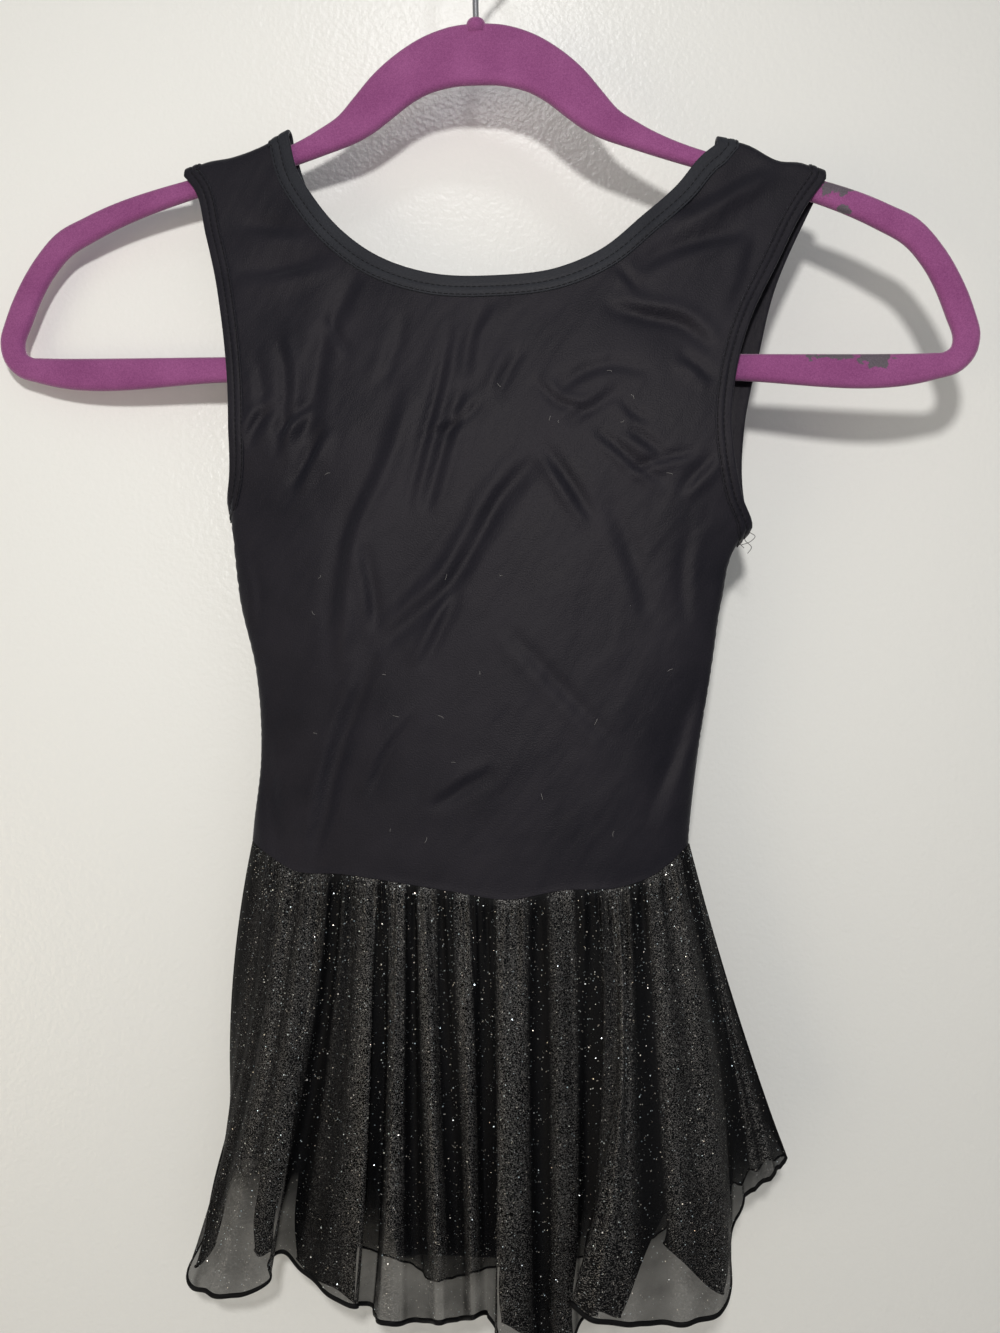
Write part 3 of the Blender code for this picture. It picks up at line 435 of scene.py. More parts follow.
def grid_faces(rows, columns, flip=False, around=False, closed=False):
    """Faces of a grid of points. It may close on itself along its rows or its columns."""
    faces = []
    for r in range(rows if around else rows - 1):
        for c in range(columns if closed else columns - 1):
            r2, c2 = (r + 1) % rows, (c + 1) % columns
            face = (r * columns + c, r * columns + c2, r2 * columns + c2, r2 * columns + c)
            faces.append(face[::-1] if flip else face)
    return faces


# %% [markdown]
# Knit that hangs unworn keeps the creases of its drawer. They were read off the photograph one by
# one: each is a line on the cloth with a width, a depth, and a lip that stands up beside it.

# %% Fine creases
FRONT_CREASES = (
    (4.5, 2.4, 0.7, (-111, -184), (-89, -182), (-64, -176)),
    (3.6, 1.6, 0.6, (-108, -161), (-92, -163), (-76, -165)),
    (4.2, 1.9, -0.6, (-53, -186), (-67, -214), (-73, -245), (-77, -274)),
    (4.0, -2.4, 0.6, (-26, -240), (-39, -276), (-52, -304), (-57, -332), (-58, -368)),
    (3.8, 2.4, 0.8, (31, -269), (14, -287), (1, -309), (-11, -328), (-24, -340), (-43, -357)),
    (4.0, 2.2, 0.7, (-43, -357), (-54, -384), (-60, -400), (-67, -430), (-74, -456)),
    (3.0, 1.8, -0.7, (-5, -240), (-13, -266), (-21, -296)),
    (2.6, 1.6, 0.8, (-6, -331), (-14, -347), (-23, -365)),
    (2.6, 1.4, 0.5, (-48, -309), (-45, -330), (-43, -350)),
    (3.0, 1.6, -0.6, (7, -200), (-1, -216), (-4, -236)),
    (3.0, 1.4, 0.6, (21, -222), (14, -236), (10, -246)),
    (2.8, 1.8, 0.8, (31, -266), (42, -282), (54, -301)),
    (3.4, 1.0, 0.5, (12, -344), (40, -374), (68, -404)),
    (2.6, 2.1, 0.8, (-91, -260), (-82, -251), (-73, -243)),
    (2.6, 2.1, 0.8, (-83, -284), (-75, -270), (-67, -256)),
    (3.2, 2.1, -0.8, (58, -205), (76, -209), (92, -213), (105, -225)),
    (2.6, 1.8, 0.7, (90, -226), (98, -231), (106, -239)),
    (4.0, 2.1, 0.7, (70, -188), (88, -179), (104, -174), (121, -171)),
    (2.4, 1.3, 0.6, (63, -185), (69, -192), (75, -199)),
    (2.6, 1.4, -0.6, (40, -257), (52, -250), (64, -242)),
    (2.4, 1.6, 0.7, (68, -259), (76, -265), (84, -271)),
    (2.6, 1.8, 0.7, (90, -287), (98, -279), (106, -270)),
    (4.2, -2.1, 0.6, (137, -144), (122, -152), (108, -160), (88, -169)),
    (3.0, 1.4, 0.6, (10, -409), (-4, -417), (-19, -427)),
    (4.0, 1.4, 0.5, (-96, -396), (-92, -430), (-86, -454)),
    (3.6, 1.4, -0.6, (102, -362), (92, -394), (76, -434)),
    (3.0, 1.3, 0.6, (34, -246), (45, -236), (60, -231), (78, -234)),
    (2.2, 1.1, 0.6, (64, -244), (70, -252), (78, -257)),
    (3.4, 1.1, 0.5, (-31, -205), (-36, -224), (-42, -240)),
    (2.6, 1.1, 0.5, (-100, -222), (-96, -240), (-98, -258)),
    (3.0, 1.0, 0.5, (-104, -306), (-98, -330), (-99, -352)),
    (4.4, 1.3, 0.5, (60, -290), (70, -315), (78, -345)),
    (3.0, 1.0, -0.5, (96, -300), (92, -322), (94, -348)),
    (3.4, 1.1, 0.5, (126, -170), (121, -190), (112, -212)),
    (2.6, 1.1, 0.5, (-24, -385), (-38, -402), (-46, -424)),
    (2.4, 1.9, -0.7, (-10, -209), (-14, -232), (-22, -264), (-30, -295)),
    (2.0, 1.6, 0.7, (53, -259), (64, -268), (73, -276), (85, -284)),
    (2.0, 1.7, 0.7, (67, -278), (82, -273), (99, -269)),
    (2.0, 1.5, -0.7, (27, -237), (39, -248), (53, -251)),
    (2.2, 1.8, 0.8, (-89, -245), (-99, -254), (-103, -265)),
    (2.6, 2.2, -0.7, (-89, -215), (-85, -232), (-86, -251), (-90, -270)),
    (2.0, 1.5, 0.7, (-65, -204), (-62, -215), (-56, -223)),
    (2.0, 1.5, 0.6, (4, -245), (-7, -256), (-22, -262)),
)
BACK_CREASES = (
    (4.6, 2.1, 0.6, (-100, -196), (-82, -204), (-62, -222)),
    (4.6, 1.9, -0.6, (104, -190), (86, -206), (74, -226)),
    (5.0, 2.2, 0.7, (-70, -262), (-44, -300), (-22, -342), (-10, -384)),
    (4.2, 1.9, 0.6, (58, -258), (40, -296), (34, -338)),
    (3.6, 1.6, -0.7, (92, -300), (70, -330), (58, -366), (54, -404)),
    (3.6, 1.6, 0.6, (-92, -318), (-78, -352), (-70, -396)),
    (3.0, 1.4, 0.6, (8, -268), (2, -294), (6, -318)),
    (3.4, 1.4, -0.6, (-36, -386), (-52, -414), (-58, -440)),
    (3.4, 1.3, 0.6, (20, -392), (32, -418), (30, -438)),
)


CREASE_STEP, CREASE_FADE, LIP_PLACE, LIP_SPREAD = 4.0, 0.7, 1.5, 1.3


def crease_push(creases, x, h):
    """How far the fine creases push the cloth in at each place."""
    total = np.zeros_like(x)
    for width, depth, lip, *route in creases:
        route = path_through(route, CREASE_STEP)
        nearest = np.full(x.shape, 1e9)
        off, share = np.zeros_like(x), np.zeros_like(x)
        for k, (start, end) in enumerate(zip(route, route[1:])):
            dx, dz = end - start
            length = math.hypot(dx, dz)
            rx, rz = x - start[0], h - start[1]
            t = np.clip((rx * dx + rz * dz) / length ** 2, 0.0, 1.0)
            gap = np.hypot(rx - t * dx, rz - t * dz)
            closer = gap < nearest
            nearest = np.where(closer, gap, nearest)
            off = np.where(closer, np.where(rx * dz - rz * dx > 0, gap, -gap) / width, off)
            share = np.where(closer, (k + t) / (len(route) - 1), share)
        fade = np.sin(math.pi * np.clip(share, 0.0, 1.0)) ** CREASE_FADE
        beside = off - math.copysign(LIP_PLACE, lip)
        lip_shape = abs(lip) * np.exp(-(beside ** 2) / LIP_SPREAD)
        total += depth * (np.exp(-off * off) - lip_shape) * fade
    return total


print("creases", len(FRONT_CREASES), "in front,", len(BACK_CREASES), "behind")

# %% [markdown]
# The front and the back of the body are two pieces of stretch jersey, joined at the shoulders and
# down the sides. Each sheet runs a little under its bands, as the real one is sewn into them. Its
# waist edge is turned under, which leaves a small roll, and the side seams pull in a little.

# %% Front and back of the body
WAIST = (
    (-103.0, -443.0, -443.0), (-94.0, -448.0, -443.5), (-82.0, -454.5, -445.0),
    (-58.0, -455.6, -449.0), (-32.0, -458.6, -453.0), (-8.0, -462.0, -455.0),
    (16.0, -465.2, -455.0), (40.0, -461.0, -453.0), (66.0, -459.6, -448.0),
    (82.0, -453.5, -443.5), (90.5, -446.5, -442.0), (95.5, -442.0, -442.0),
)
PANEL_STEP = 2.2
UNDER_BAND = 2.0
WAIST_ROLL, WAIST_ROLL_WIDTH = 0.35, 1.7
WAIST_ROLL_LINES = (0.7, 1.4, 2.4, 3.8)
SEAM_DIP, SEAM_DIP_WIDTH = 0.45, 1.6
RELIEF_START, RELIEF_BLEND, SIDE_BLEND, ARM_BLEND = 4.0, 14.0, 12.0, 6.0


def waist_height(side, x):
    return look_up(WAIST, x, 1 if side == FRONT else 2)


def strap_rows(side, low, high):
    count = int((high - low) / PANEL_STEP) + 1
    return np.array([fold_rows(side, x) for x in np.linspace(low, high, count)])


def body_outline(side):
    """Outline of a body panel in cloth places, and the guide places on its shoulder folds."""
    arm, neck = ARM_BAND_WIDTH - UNDER_BAND, NECK_BAND_WIDTH - UNDER_BAND
    right_arm, left_arm = armhole_line(side, 1, arm), armhole_line(side, -1, arm)
    neck_edge = neck_line(side, neck)
    left_strap = strap_rows(side, STRAP_LEFT[0] + arm, STRAP_LEFT[1] - neck)
    right_strap = strap_rows(side, STRAP_RIGHT[0] + neck, STRAP_RIGHT[1] - arm)
    side_lines = {}
    for sign, line in ((1, right_arm), (-1, left_arm)):
        low = float(waist_height(side, 200.0 * sign))
        heights = np.arange(low, line[0][1], 3.0)
        side_lines[sign] = np.stack([sign * body_reach(side, sign, heights), heights], axis=1)
    shares = np.linspace(0.0, 1.0, 90)[1:-1]
    left, right = side_lines[-1][0][0], side_lines[1][0][0]
    p = left + (right - left) * (0.5 - 0.5 * np.cos(math.pi * shares)) * 0.5
    p = p + (left + (right - left) * shares - left) * 0.5
    waist = np.stack([p, waist_height(side, place(side, p, -443.0)[:, 0])], axis=1)
    outline = np.concatenate([
        waist, side_lines[1], right_arm[:-1], right_strap[::-1, -1], neck_edge[1:-1][::-1],
        left_strap[::-1, -1], left_arm[:-1][::-1], side_lines[-1][::-1],
    ])
    rolls = [waist[2:-2] + (0.0, rise) for rise in WAIST_ROLL_LINES]
    guides = np.concatenate([left_strap[1:-1, :-1].reshape(-1, 2),
                             right_strap[1:-1, :-1].reshape(-1, 2), *rolls])
    return outline, guides


def body_relief(side, places, points):
    """How far the finished surface stands out from the plain shape."""
    x, h = points[:, 0], places[:, 1]
    drop = fold_centre(x) - h
    push = -crease_push(FRONT_CREASES if side == FRONT else BACK_CREASES, x, h)
    push *= ease((drop + RELIEF_START) / RELIEF_BLEND)
    from_waist = h - waist_height(side, x)
    push += WAIST_ROLL * np.exp(-(from_waist / WAIST_ROLL_WIDTH) ** 2)
    sign = np.where(places[:, 0] > 0, 1.0, -1.0)
    reach = np.where(sign > 0, body_reach(side, 1, h), body_reach(side, -1, h))
    from_seam = reach - np.abs(places[:, 0])
    push *= ease(from_seam / SIDE_BLEND)
    below_arm = ease((UNDERARM_RIGHT - h) / ARM_BLEND)
    return push - SEAM_DIP * np.exp(-(from_seam / SEAM_DIP_WIDTH) ** 2) * below_arm


def make_body(name, side):
    outline, guides = body_outline(side)
    flat, faces = filled(outline, PANEL_STEP, guides)
    points, normals = with_normals(place, side, flat)
    points = points + normals * body_relief(side, flat, points)[:, None]
    return make_cloth(name, side, points, normals, faces, flat)


body_front = make_body("body_front", FRONT)
body_back = make_body("body_back", BACK)

# %% [markdown]
# A band is a strip folded in half over the raw edge and held down by two rows of stitching. Its
# section is drawn once, with a round outer edge and a small valley under each row, and is carried
# round the opening on both panels, so the ring closes on itself.

# %% Bands at the neck and the armholes
BAND_EDGE = [(0.35, -0.42), (0.05, -0.2), (-0.08, 0.3), (0.02, 0.8), (0.3, 1.12)]
BAND_HEIGHT, BAND_FALL, VALLEY_DEPTH, VALLEY_WIDTH = 1.28, 0.1, 0.34, 0.55


def band_section(width, rows):
    """Section of a band: distance in from the edge, and height over the middle of the cloth."""
    outer = []
    for d in np.linspace(0.7, width - 0.3, 17):
        valley = sum(VALLEY_DEPTH * math.exp(-((d - row) / VALLEY_WIDTH) ** 2) for row in rows)
        outer.append((d, BAND_HEIGHT - BAND_FALL * d / width - valley))
    back = [(width, 0.85), (width + 0.1, 0.4), (width - 0.3, 0.3), (2.0, -0.45)]
    return BAND_EDGE + outer + back


def ring_line(where, line, distance):
    """Points and outward directions round an opening, on the front and then on the back."""
    front = with_normals(where, FRONT, line(FRONT, distance))
    back = with_normals(where, BACK, line(BACK, distance)[::-1][1:-1])
    return np.concatenate([front[0], back[0]]), np.concatenate([front[1], back[1]])


def make_band(name, where, line, width, rows, flip):
    section = band_section(width, rows)
    points, uv = [], []
    for distance, height in section:
        spots, normals = ring_line(where, line, distance)
        points.append(spots + normals * height)
        run = np.concatenate([[0.0], np.cumsum(np.linalg.norm(np.diff(spots, axis=0), axis=1))])
        uv.append(np.stack([run, np.full(len(run), distance)], axis=1))
    columns = len(points[0])
    faces = grid_faces(len(section), columns, flip, around=True, closed=True)
    made = make_mesh(name, np.concatenate(points), faces, np.concatenate(uv))
    print(name, len(faces), "faces, edge", round(uv[5][-1][0]), "mm round")
    return made


def arm_edge(sign):
    return lambda side, distance: armhole_line(side, sign, distance)


NECK_ROWS, ARM_ROWS, LEG_ROWS = (5.1, 8.6), (3.4, 6.2), (3.6, 6.6)
neck_band = make_band("neck_band_cloth", place, neck_line, NECK_BAND_WIDTH, NECK_ROWS, True)
arm_band_left = make_band("arm_band_left", place, arm_edge(-1), ARM_BAND_WIDTH, ARM_ROWS, False)
arm_band_right = make_band("arm_band_right", place, arm_edge(1), ARM_BAND_WIDTH, ARM_ROWS, True)

# %% [markdown]
# Each stitch is a short arch of thread that dives into the cloth at both ends. A few hundred of
# them in one mesh cost little, and they catch the light as the real rows do.

# %% Stitch rows
STITCH_LENGTH, STITCH_GAP, THREAD_RADIUS = 2.1, 0.55, 0.2
STITCH_SIDES, STITCH_RINGS = 5, 5
STITCH_LOW, STITCH_ARCH, STITCH_TIP = 0.83, 0.2, 0.65


def thread_mesh(name, runs):
    """One mesh of short threads, each given as a centre line and a radius along it."""
    points, faces = [], []
    for line, radii in runs:
        along = unit(np.gradient(line, axis=0))
        helper = np.array([0.0, 1.0, 0.0]) if abs(along[0][1]) < 0.8 else np.array([1.0, 0.0, 0.0])
        first = unit(np.cross(along, helper))
        second = np.cross(along, first)
        base = len(points)
        for i, spot in enumerate(line):
            for s in range(STITCH_SIDES):
                angle = 2 * math.pi * s / STITCH_SIDES
                around = first[i] * math.cos(angle) + second[i] * math.sin(angle)
                points.append(spot + around * radii[i])
        rings = grid_faces(len(line), STITCH_SIDES, closed=True)
        faces += [tuple(base + i for i in face) for face in rings]
        faces.append(tuple(base + i for i in range(STITCH_SIDES))[::-1])
        last = base + (len(line) - 1) * STITCH_SIDES
        faces.append(tuple(last + i for i in range(STITCH_SIDES)))
    made = make_mesh(name, points, faces)
    print(name, len(runs), "threads")
    return made


def stitch_row(where, line, distance):
    """Stitches round an opening, at one distance from its edge."""
    spots, normals = ring_line(where, line, distance)
    spots = np.concatenate([spots, spots[:1]])
    normals = np.concatenate([normals, normals[:1]])
    run = np.concatenate([[0.0], np.cumsum(np.linalg.norm(np.diff(spots, axis=0), axis=1))])
    runs = []
    arch = np.sin(np.linspace(0.0, math.pi, STITCH_RINGS))
    for start in np.arange(0.0, run[-1] - STITCH_LENGTH, STITCH_LENGTH + STITCH_GAP):
        at = np.linspace(start, start + STITCH_LENGTH, STITCH_RINGS)
        centre = np.stack([np.interp(at, run, axis) for axis in spots.T], axis=1)
        out = unit(np.stack([np.interp(at, run, axis) for axis in normals.T], axis=1))
        line_points = centre + out * (STITCH_LOW + STITCH_ARCH * arch)[:, None]
        runs.append((line_points, THREAD_RADIUS * (STITCH_TIP + (1 - STITCH_TIP) * arch)))
    return runs


def stitch_rows(name, where, line, rows):
    runs = []
    for distance in rows:
        runs += stitch_row(where, line, distance)
    return thread_mesh(name, runs)


neck_stitches = stitch_rows("neck_stitches", place, neck_line, NECK_ROWS)
arm_stitches_left = stitch_rows("arm_stitches_left", place, arm_edge(-1), ARM_ROWS)
arm_stitches_right = stitch_rows("arm_stitches_right", place, arm_edge(1), ARM_ROWS)

# %% [markdown]
# The skirt is one layer of sheer mesh on each side, gathered into the waist seam. Each row of the
# tables is one column of cloth: where it leaves the waist, where its hem hangs, and how it bows.
# The folds between the rows come from smooth curves, so the hem swings as a real circle cut does.

# %% Skirt tables
FRONT_FLUTES = (
    (-103.0, -114.5, 8.0, -596.5, -6.0), (-98.5, -120.5, 1.5, -614.0, 0.0),
    (-94.5, -131.5, -6.0, -642.0, 8.0), (-86.0, -119.5, -17.0, -643.5, 6.0),
    (-74.0, -101.5, -20.0, -642.0, 1.0), (-68.0, -90.5, -16.5, -637.0, 2.0),
    (-64.5, -94.0, -9.5, -634.5, 3.0), (-61.0, -89.5, -2.5, -633.5, 3.0),
    (-57.0, -77.5, -7.0, -638.5, 3.0), (-50.5, -62.5, -17.5, -643.5, 2.0),
    (-43.5, -50.0, -20.5, -644.5, 2.0), (-41.0, -53.0, -13.5, -648.0, 2.5),
    (-39.5, -47.0, -9.5, -651.0, 3.0), (-38.0, -43.5, -17.0, -650.0, 3.0),
    (-36.5, -41.0, -25.0, -647.0, 3.0), (-32.0, -34.0, -30.0, -645.2, 0.0),
    (-26.5, -23.5, -21.0, -649.5, 0.0), (-20.5, -12.5, -30.5, -643.2, 0.0),
    (-11.0, -5.5, -20.5, -648.0, 0.0), (-4.5, 1.5, -29.5, -641.5, 0.0),
    (2.6, 7.0, -18.5, -646.5, 0.0), (9.0, 11.0, -24.5, -650.0, 0.0),
    (13.5, 10.5, -30.5, -654.5, 0.0), (20.0, 20.0, -32.0, -658.0, 0.0),
    (27.0, 30.0, -21.0, -661.0, 0.0),
    (41.0, 40.0, -21.5, -660.0, 2.0), (49.0, 49.0, -13.5, -649.0, 2.0),
    (54.0, 53.5, -19.0, -644.0, 3.0), (56.5, 48.5, -25.5, -638.0, 5.0),
    (58.5, 43.0, -31.0, -632.0, 10.0), (61.0, 48.0, -37.0, -633.5, 8.0),
    (66.0, 66.0, -34.0, -638.0, 2.0), (73.0, 81.5, -25.5, -642.5, 0.0),
    (80.0, 94.0, -26.0, -641.5, 2.0), (87.5, 107.0, -18.5, -640.5, 5.0),
    (90.5, 113.5, -9.0, -635.0, 7.0), (92.0, 114.5, 0.0, -620.0, 6.0),
    (93.2, 121.0, 5.0, -605.0, 4.0), (94.5, 134.0, 6.5, -594.0, 0.0),
    (95.5, 141.5, 12.0, -589.0, -2.0),
)
BACK_FLUTES = (
    (-103.0, -114.5, 8.0, -596.5, -6.0), (-101.5, -112.0, 12.0, -598.0, -5.0),
    (-96.0, -99.0, 19.0, -603.0, -2.0), (-86.0, -83.0, 24.0, -613.0, 0.0),
    (-76.0, -67.0, 15.0, -633.0, 0.0), (-64.0, -51.0, 26.0, -648.0, 0.0),
    (-52.0, -36.0, 33.0, -657.0, 0.0), (-40.0, -21.0, 22.0, -658.0, 0.0),
    (-27.0, -6.0, 29.0, -658.0, 0.0), (-14.0, 9.0, 37.0, -659.0, 0.0),
    (0.0, 25.0, 24.0, -656.0, 0.0), (14.0, 41.0, 32.0, -653.0, 0.0),
    (28.0, 57.0, 37.0, -649.0, 0.0), (42.0, 73.0, 24.0, -639.0, 0.0),
    (56.0, 91.0, 32.0, -632.0, 0.0), (69.0, 107.0, 36.0, -622.0, 0.0),
    (80.0, 119.0, 27.0, -611.0, 0.0), (88.0, 131.0, 24.0, -599.0, 0.0),
    (93.0, 139.5, 19.0, -591.5, -2.0), (95.5, 141.5, 12.0, -589.0, -2.0),
)
SKIRT_COLUMNS = {FRONT: 430, BACK: 320}
GATHERS = {FRONT: 22, BACK: 20}
GATHER_DEPTH, GATHER_DRIFT, GATHER_DRIFT_RATE, GATHER_MARGIN = 1.2, 0.3, 9.0, 0.04
LEVELS = np.linspace(0.0, 1.0, 64) ** 1.25
TUCK_RISE, TUCK_DEPTH = 1.6, 0.9
FOLD_WINDOW, EARLY_FOLDS = 45, 0.7
CREST_REACH = 3.0


def flute_keys(table):
    rows = np.asarray(table)
    hem = np.linalg.norm(np.diff(rows[:, 1:3], axis=0), axis=1)
    return np.concatenate([[0.0], np.cumsum((np.abs(np.diff(rows[:, 0])) + hem) / 2)])


def fold_stand(side, hem):
    """How far each column's hem stands out from the skirt's even round, in millimetres."""
    stand = side * hem[:, 1]
    window = np.hanning(FOLD_WINDOW)
    padded = np.pad(stand, FOLD_WINDOW // 2, mode="edge")
    return stand - np.convolve(padded, window / window.sum(), mode="valid")


def skirt_base(side, table):
    """The skirt sheet without its small gathers: an array of levels by columns by x, y, z."""
    keys = flute_keys(table)
    at = np.linspace(0.0, keys[-1], SKIRT_COLUMNS[side])
    waist_x, x, y, z, bow = (smooth(keys, np.asarray(table)[:, i], at) for i in range(5))
    h = waist_height(side, waist_x) - 0.2
    p = across(side, waist_x, h)
    p[0] = -body_reach(side, -1, h[:1])[0]
    p[-1] = body_reach(side, 1, h[-1:])[0]
    top, hem = place(side, p, h), np.stack([x, y, z], axis=1)
    level = LEVELS[:, None, None]
    rows = top + (hem - top) * level
    rows[:, :, 0] += bow * 4 * LEVELS[:, None] * (1 - LEVELS[:, None])
    early = (LEVELS ** 0.55 - LEVELS)[:, None]
    rows[:, :, 1] += side * fold_stand(side, hem) * early * EARLY_FOLDS
    return rows


# %% [markdown]
# Small gathers run down from the seam and fade. A second, finer set puckers only the first few
# millimetres, and slow ripples keep the long folds from looking ruled. At the right the hem was
# stretched as it was sewn, and it stands in a tight lettuce wave.

# %% Gathers, ripples and the stretched hem
FINE_GATHERS, FINE_DEPTH, RIPPLES, RIPPLE_DEPTH = 61, 0.55, 33, 0.4
SWINGS, SWING_DEPTH, SEAM_PUFF = 15, 0.5, 0.7
LETTUCE_START, LETTUCE_BLEND, LETTUCE_WAVE, LETTUCE_DRIFT = 112.0, 9.0, 7.5, 9.0
LETTUCE_LEVEL, LETTUCE_OUT, LETTUCE_DOWN, LETTUCE_MARGIN = 0.86, 1.5, 1.1, 0.02


def gather_push(side, t, level):
    """How far each place of the sheet stands out from its long folds."""
    drift = GATHER_DRIFT * np.sin(GATHER_DRIFT_RATE * t)
    margin = ease(t / GATHER_MARGIN) * ease((1 - t) / GATHER_MARGIN)
    main = np.sin(2 * math.pi * (GATHERS[side] * t + drift)) * margin
    push = GATHER_DEPTH * main * ease(level / 0.06) * (1 - 0.8 * ease(level / 0.8))
    fine_phase = 2 * math.pi * (FINE_GATHERS * t + 0.9 * np.sin(13 * t) + 0.5 * np.sin(31 * t + 2))
    fine = FINE_DEPTH * np.sin(fine_phase)
    push += fine * ease(level / 0.025) * (1 - ease(level / 0.3)) * margin
    ripple = np.sin(2 * math.pi * (RIPPLES * t + 0.5 * np.sin(17 * t) + 0.35 * level))
    swing = np.sin(2 * math.pi * (SWINGS * t + 0.4 * np.sin(7 * t) - 0.5 * level))
    push += (RIPPLE_DEPTH * ripple + SWING_DEPTH * swing) * ease(level / 0.25) * margin
    return push + SEAM_PUFF * ease(level / 0.02) * (1 - ease(level / 0.12)) * margin


def lettuce(x, t):
    """Share of the stretched wave at each column of the hem, near the right side seam."""
    turns = x * 2 * math.pi / LETTUCE_WAVE + LETTUCE_DRIFT * t
    return ease((x - LETTUCE_START) / LETTUCE_BLEND) * np.sin(turns)


def outward_of(rows, side):
    return unit(-side * np.cross(np.gradient(rows, axis=0), np.gradient(rows, axis=1)))


def skirt_sheet(side, table):
    rows = skirt_base(side, table)
    out = outward_of(rows, side)
    t = np.linspace(0.0, 1.0, rows.shape[1])[None, :]
    level = LEVELS[:, None]
    push = gather_push(side, t, level)
    low = ease((level - LETTUCE_LEVEL) / (1 - LETTUCE_LEVEL))
    wave = lettuce(rows[-1, :, 0], t[0])[None, :] * low
    push = push + LETTUCE_OUT * wave * ease(t / LETTUCE_MARGIN) * ease((1 - t) / LETTUCE_MARGIN)
    rows = rows + out * push[..., None]
    hem_wave = np.cos(rows[-1, :, 0] * 2 * math.pi / LETTUCE_WAVE)
    rows[..., 2] += LETTUCE_DOWN * hem_wave[None, :] * np.abs(wave)
    tuck = rows[:1] - out[:1] * TUCK_DEPTH
    tuck[..., 2] += TUCK_RISE
    return np.concatenate([tuck, rows])


front_skirt_rows = skirt_sheet(FRONT, FRONT_FLUTES)
back_skirt_rows = skirt_sheet(BACK, BACK_FLUTES)
for near, far in ((0, 0), (-1, -1)):
    shared = (front_skirt_rows[:, near] + back_skirt_rows[:, far]) / 2
    front_skirt_rows[:, near] = back_skirt_rows[:, far] = shared


def cloth_lengths(rows):
    """UV of a sheet in millimetres: length along its middle level, and length down each column."""
    middle = rows[len(rows) // 2]
    along = np.concatenate([[0.0], np.cumsum(np.linalg.norm(np.diff(middle, axis=0), axis=1))])
    down = np.cumsum(np.linalg.norm(np.diff(rows, axis=0), axis=2), axis=0)
    down = np.concatenate([np.zeros((1, rows.shape[1])), down])
    return np.stack([np.broadcast_to(along, down.shape), -down], axis=2)


def make_skirt(name, rows, side):
    uv = cloth_lengths(rows)
    faces = grid_faces(rows.shape[0], rows.shape[1], side == FRONT)
    made = make_mesh(name, rows.reshape(-1, 3), faces, uv.reshape(-1, 2))
    # The crest value, how far each column's hem stands out, goes to the mesh finish, which paints
    # highlight on the crests and shade in the valleys with it.
    stand = fold_stand(side, rows[-1])
    crest = ease((stand + CREST_REACH) / (2 * CREST_REACH))
    values = np.broadcast_to(crest, rows.shape[:2]).astype(np.float32).ravel()
    made.data.attributes.new("crest", "FLOAT", "POINT").data.foreach_set("value", values)
    hem = np.linalg.norm(np.diff(rows[-1], axis=0), axis=1).sum()
    waist = np.linalg.norm(np.diff(rows[1], axis=0), axis=1).sum()
    print(name, "hem", round(hem), "waist", round(waist), "drop", round(float(-uv[-1, :, 1].mean())))
    return made


skirt_front = make_skirt("skirt_front_mesh", front_skirt_rows, FRONT)
skirt_back = make_skirt("skirt_back_mesh", back_skirt_rows, BACK)

# %% [markdown]
# The hem is a rolled edge, oversewn so tightly that it reads as a dark cord. It goes right round
# the skirt, so it is one closed ring. Each side seam is a fine ridge of the same kind.

# %% Rolled hem and side seams
HEM_WIDTH, HEM_THICKNESS, HEM_SIDES, HEM_RISE = 2.3, 1.0, 8, 0.3
BACK_HEM_SHARE = 0.5
SEAM_RADIUS = 0.42


def ring_round(points, down, out, width, thickness):
    """A closed tube of oval section round a closed line."""
    angles = 2 * math.pi * np.arange(HEM_SIDES) / HEM_SIDES
    rings = [points + down * math.cos(a) * width / 2 + out * math.sin(a) * thickness / 2
             for a in angles]
    return np.concatenate(rings), grid_faces(HEM_SIDES, len(points), around=True, closed=True)


def make_hem():
    lines, downs, outs, shares = [], [], [], []
    for side, rows in ((FRONT, front_skirt_rows), (BACK, back_skirt_rows)):
        down = unit(rows[-1] - rows[-3])
        out = outward_of(rows, side)[-1]
        keep = slice(None) if side == FRONT else slice(-2, 0, -1)
        lines.append(rows[-1][keep] - down[keep] * HEM_WIDTH * HEM_RISE)
        downs.append(down[keep])
        outs.append(out[keep])
        shares.append(np.full((len(down[keep]), 1), 1.0 if side == FRONT else BACK_HEM_SHARE))
    line, down, out, share = (np.concatenate(v) for v in (lines, downs, outs, shares))
    points, faces = ring_round(line, down, out, HEM_WIDTH * share, HEM_THICKNESS * share)
    made = make_mesh("skirt_hem", points, faces)
    print("hem runs", round(np.linalg.norm(np.diff(line, axis=0), axis=1).sum()), "mm")
    return made


skirt_hem = make_hem()
seam_runs = []
for column in (0, -1):
    seam_line = front_skirt_rows[2:, column]
    seam_runs.append((seam_line, np.full(len(seam_line), SEAM_RADIUS)))
skirt_seams = thread_mesh("skirt_side_seams", seam_runs)
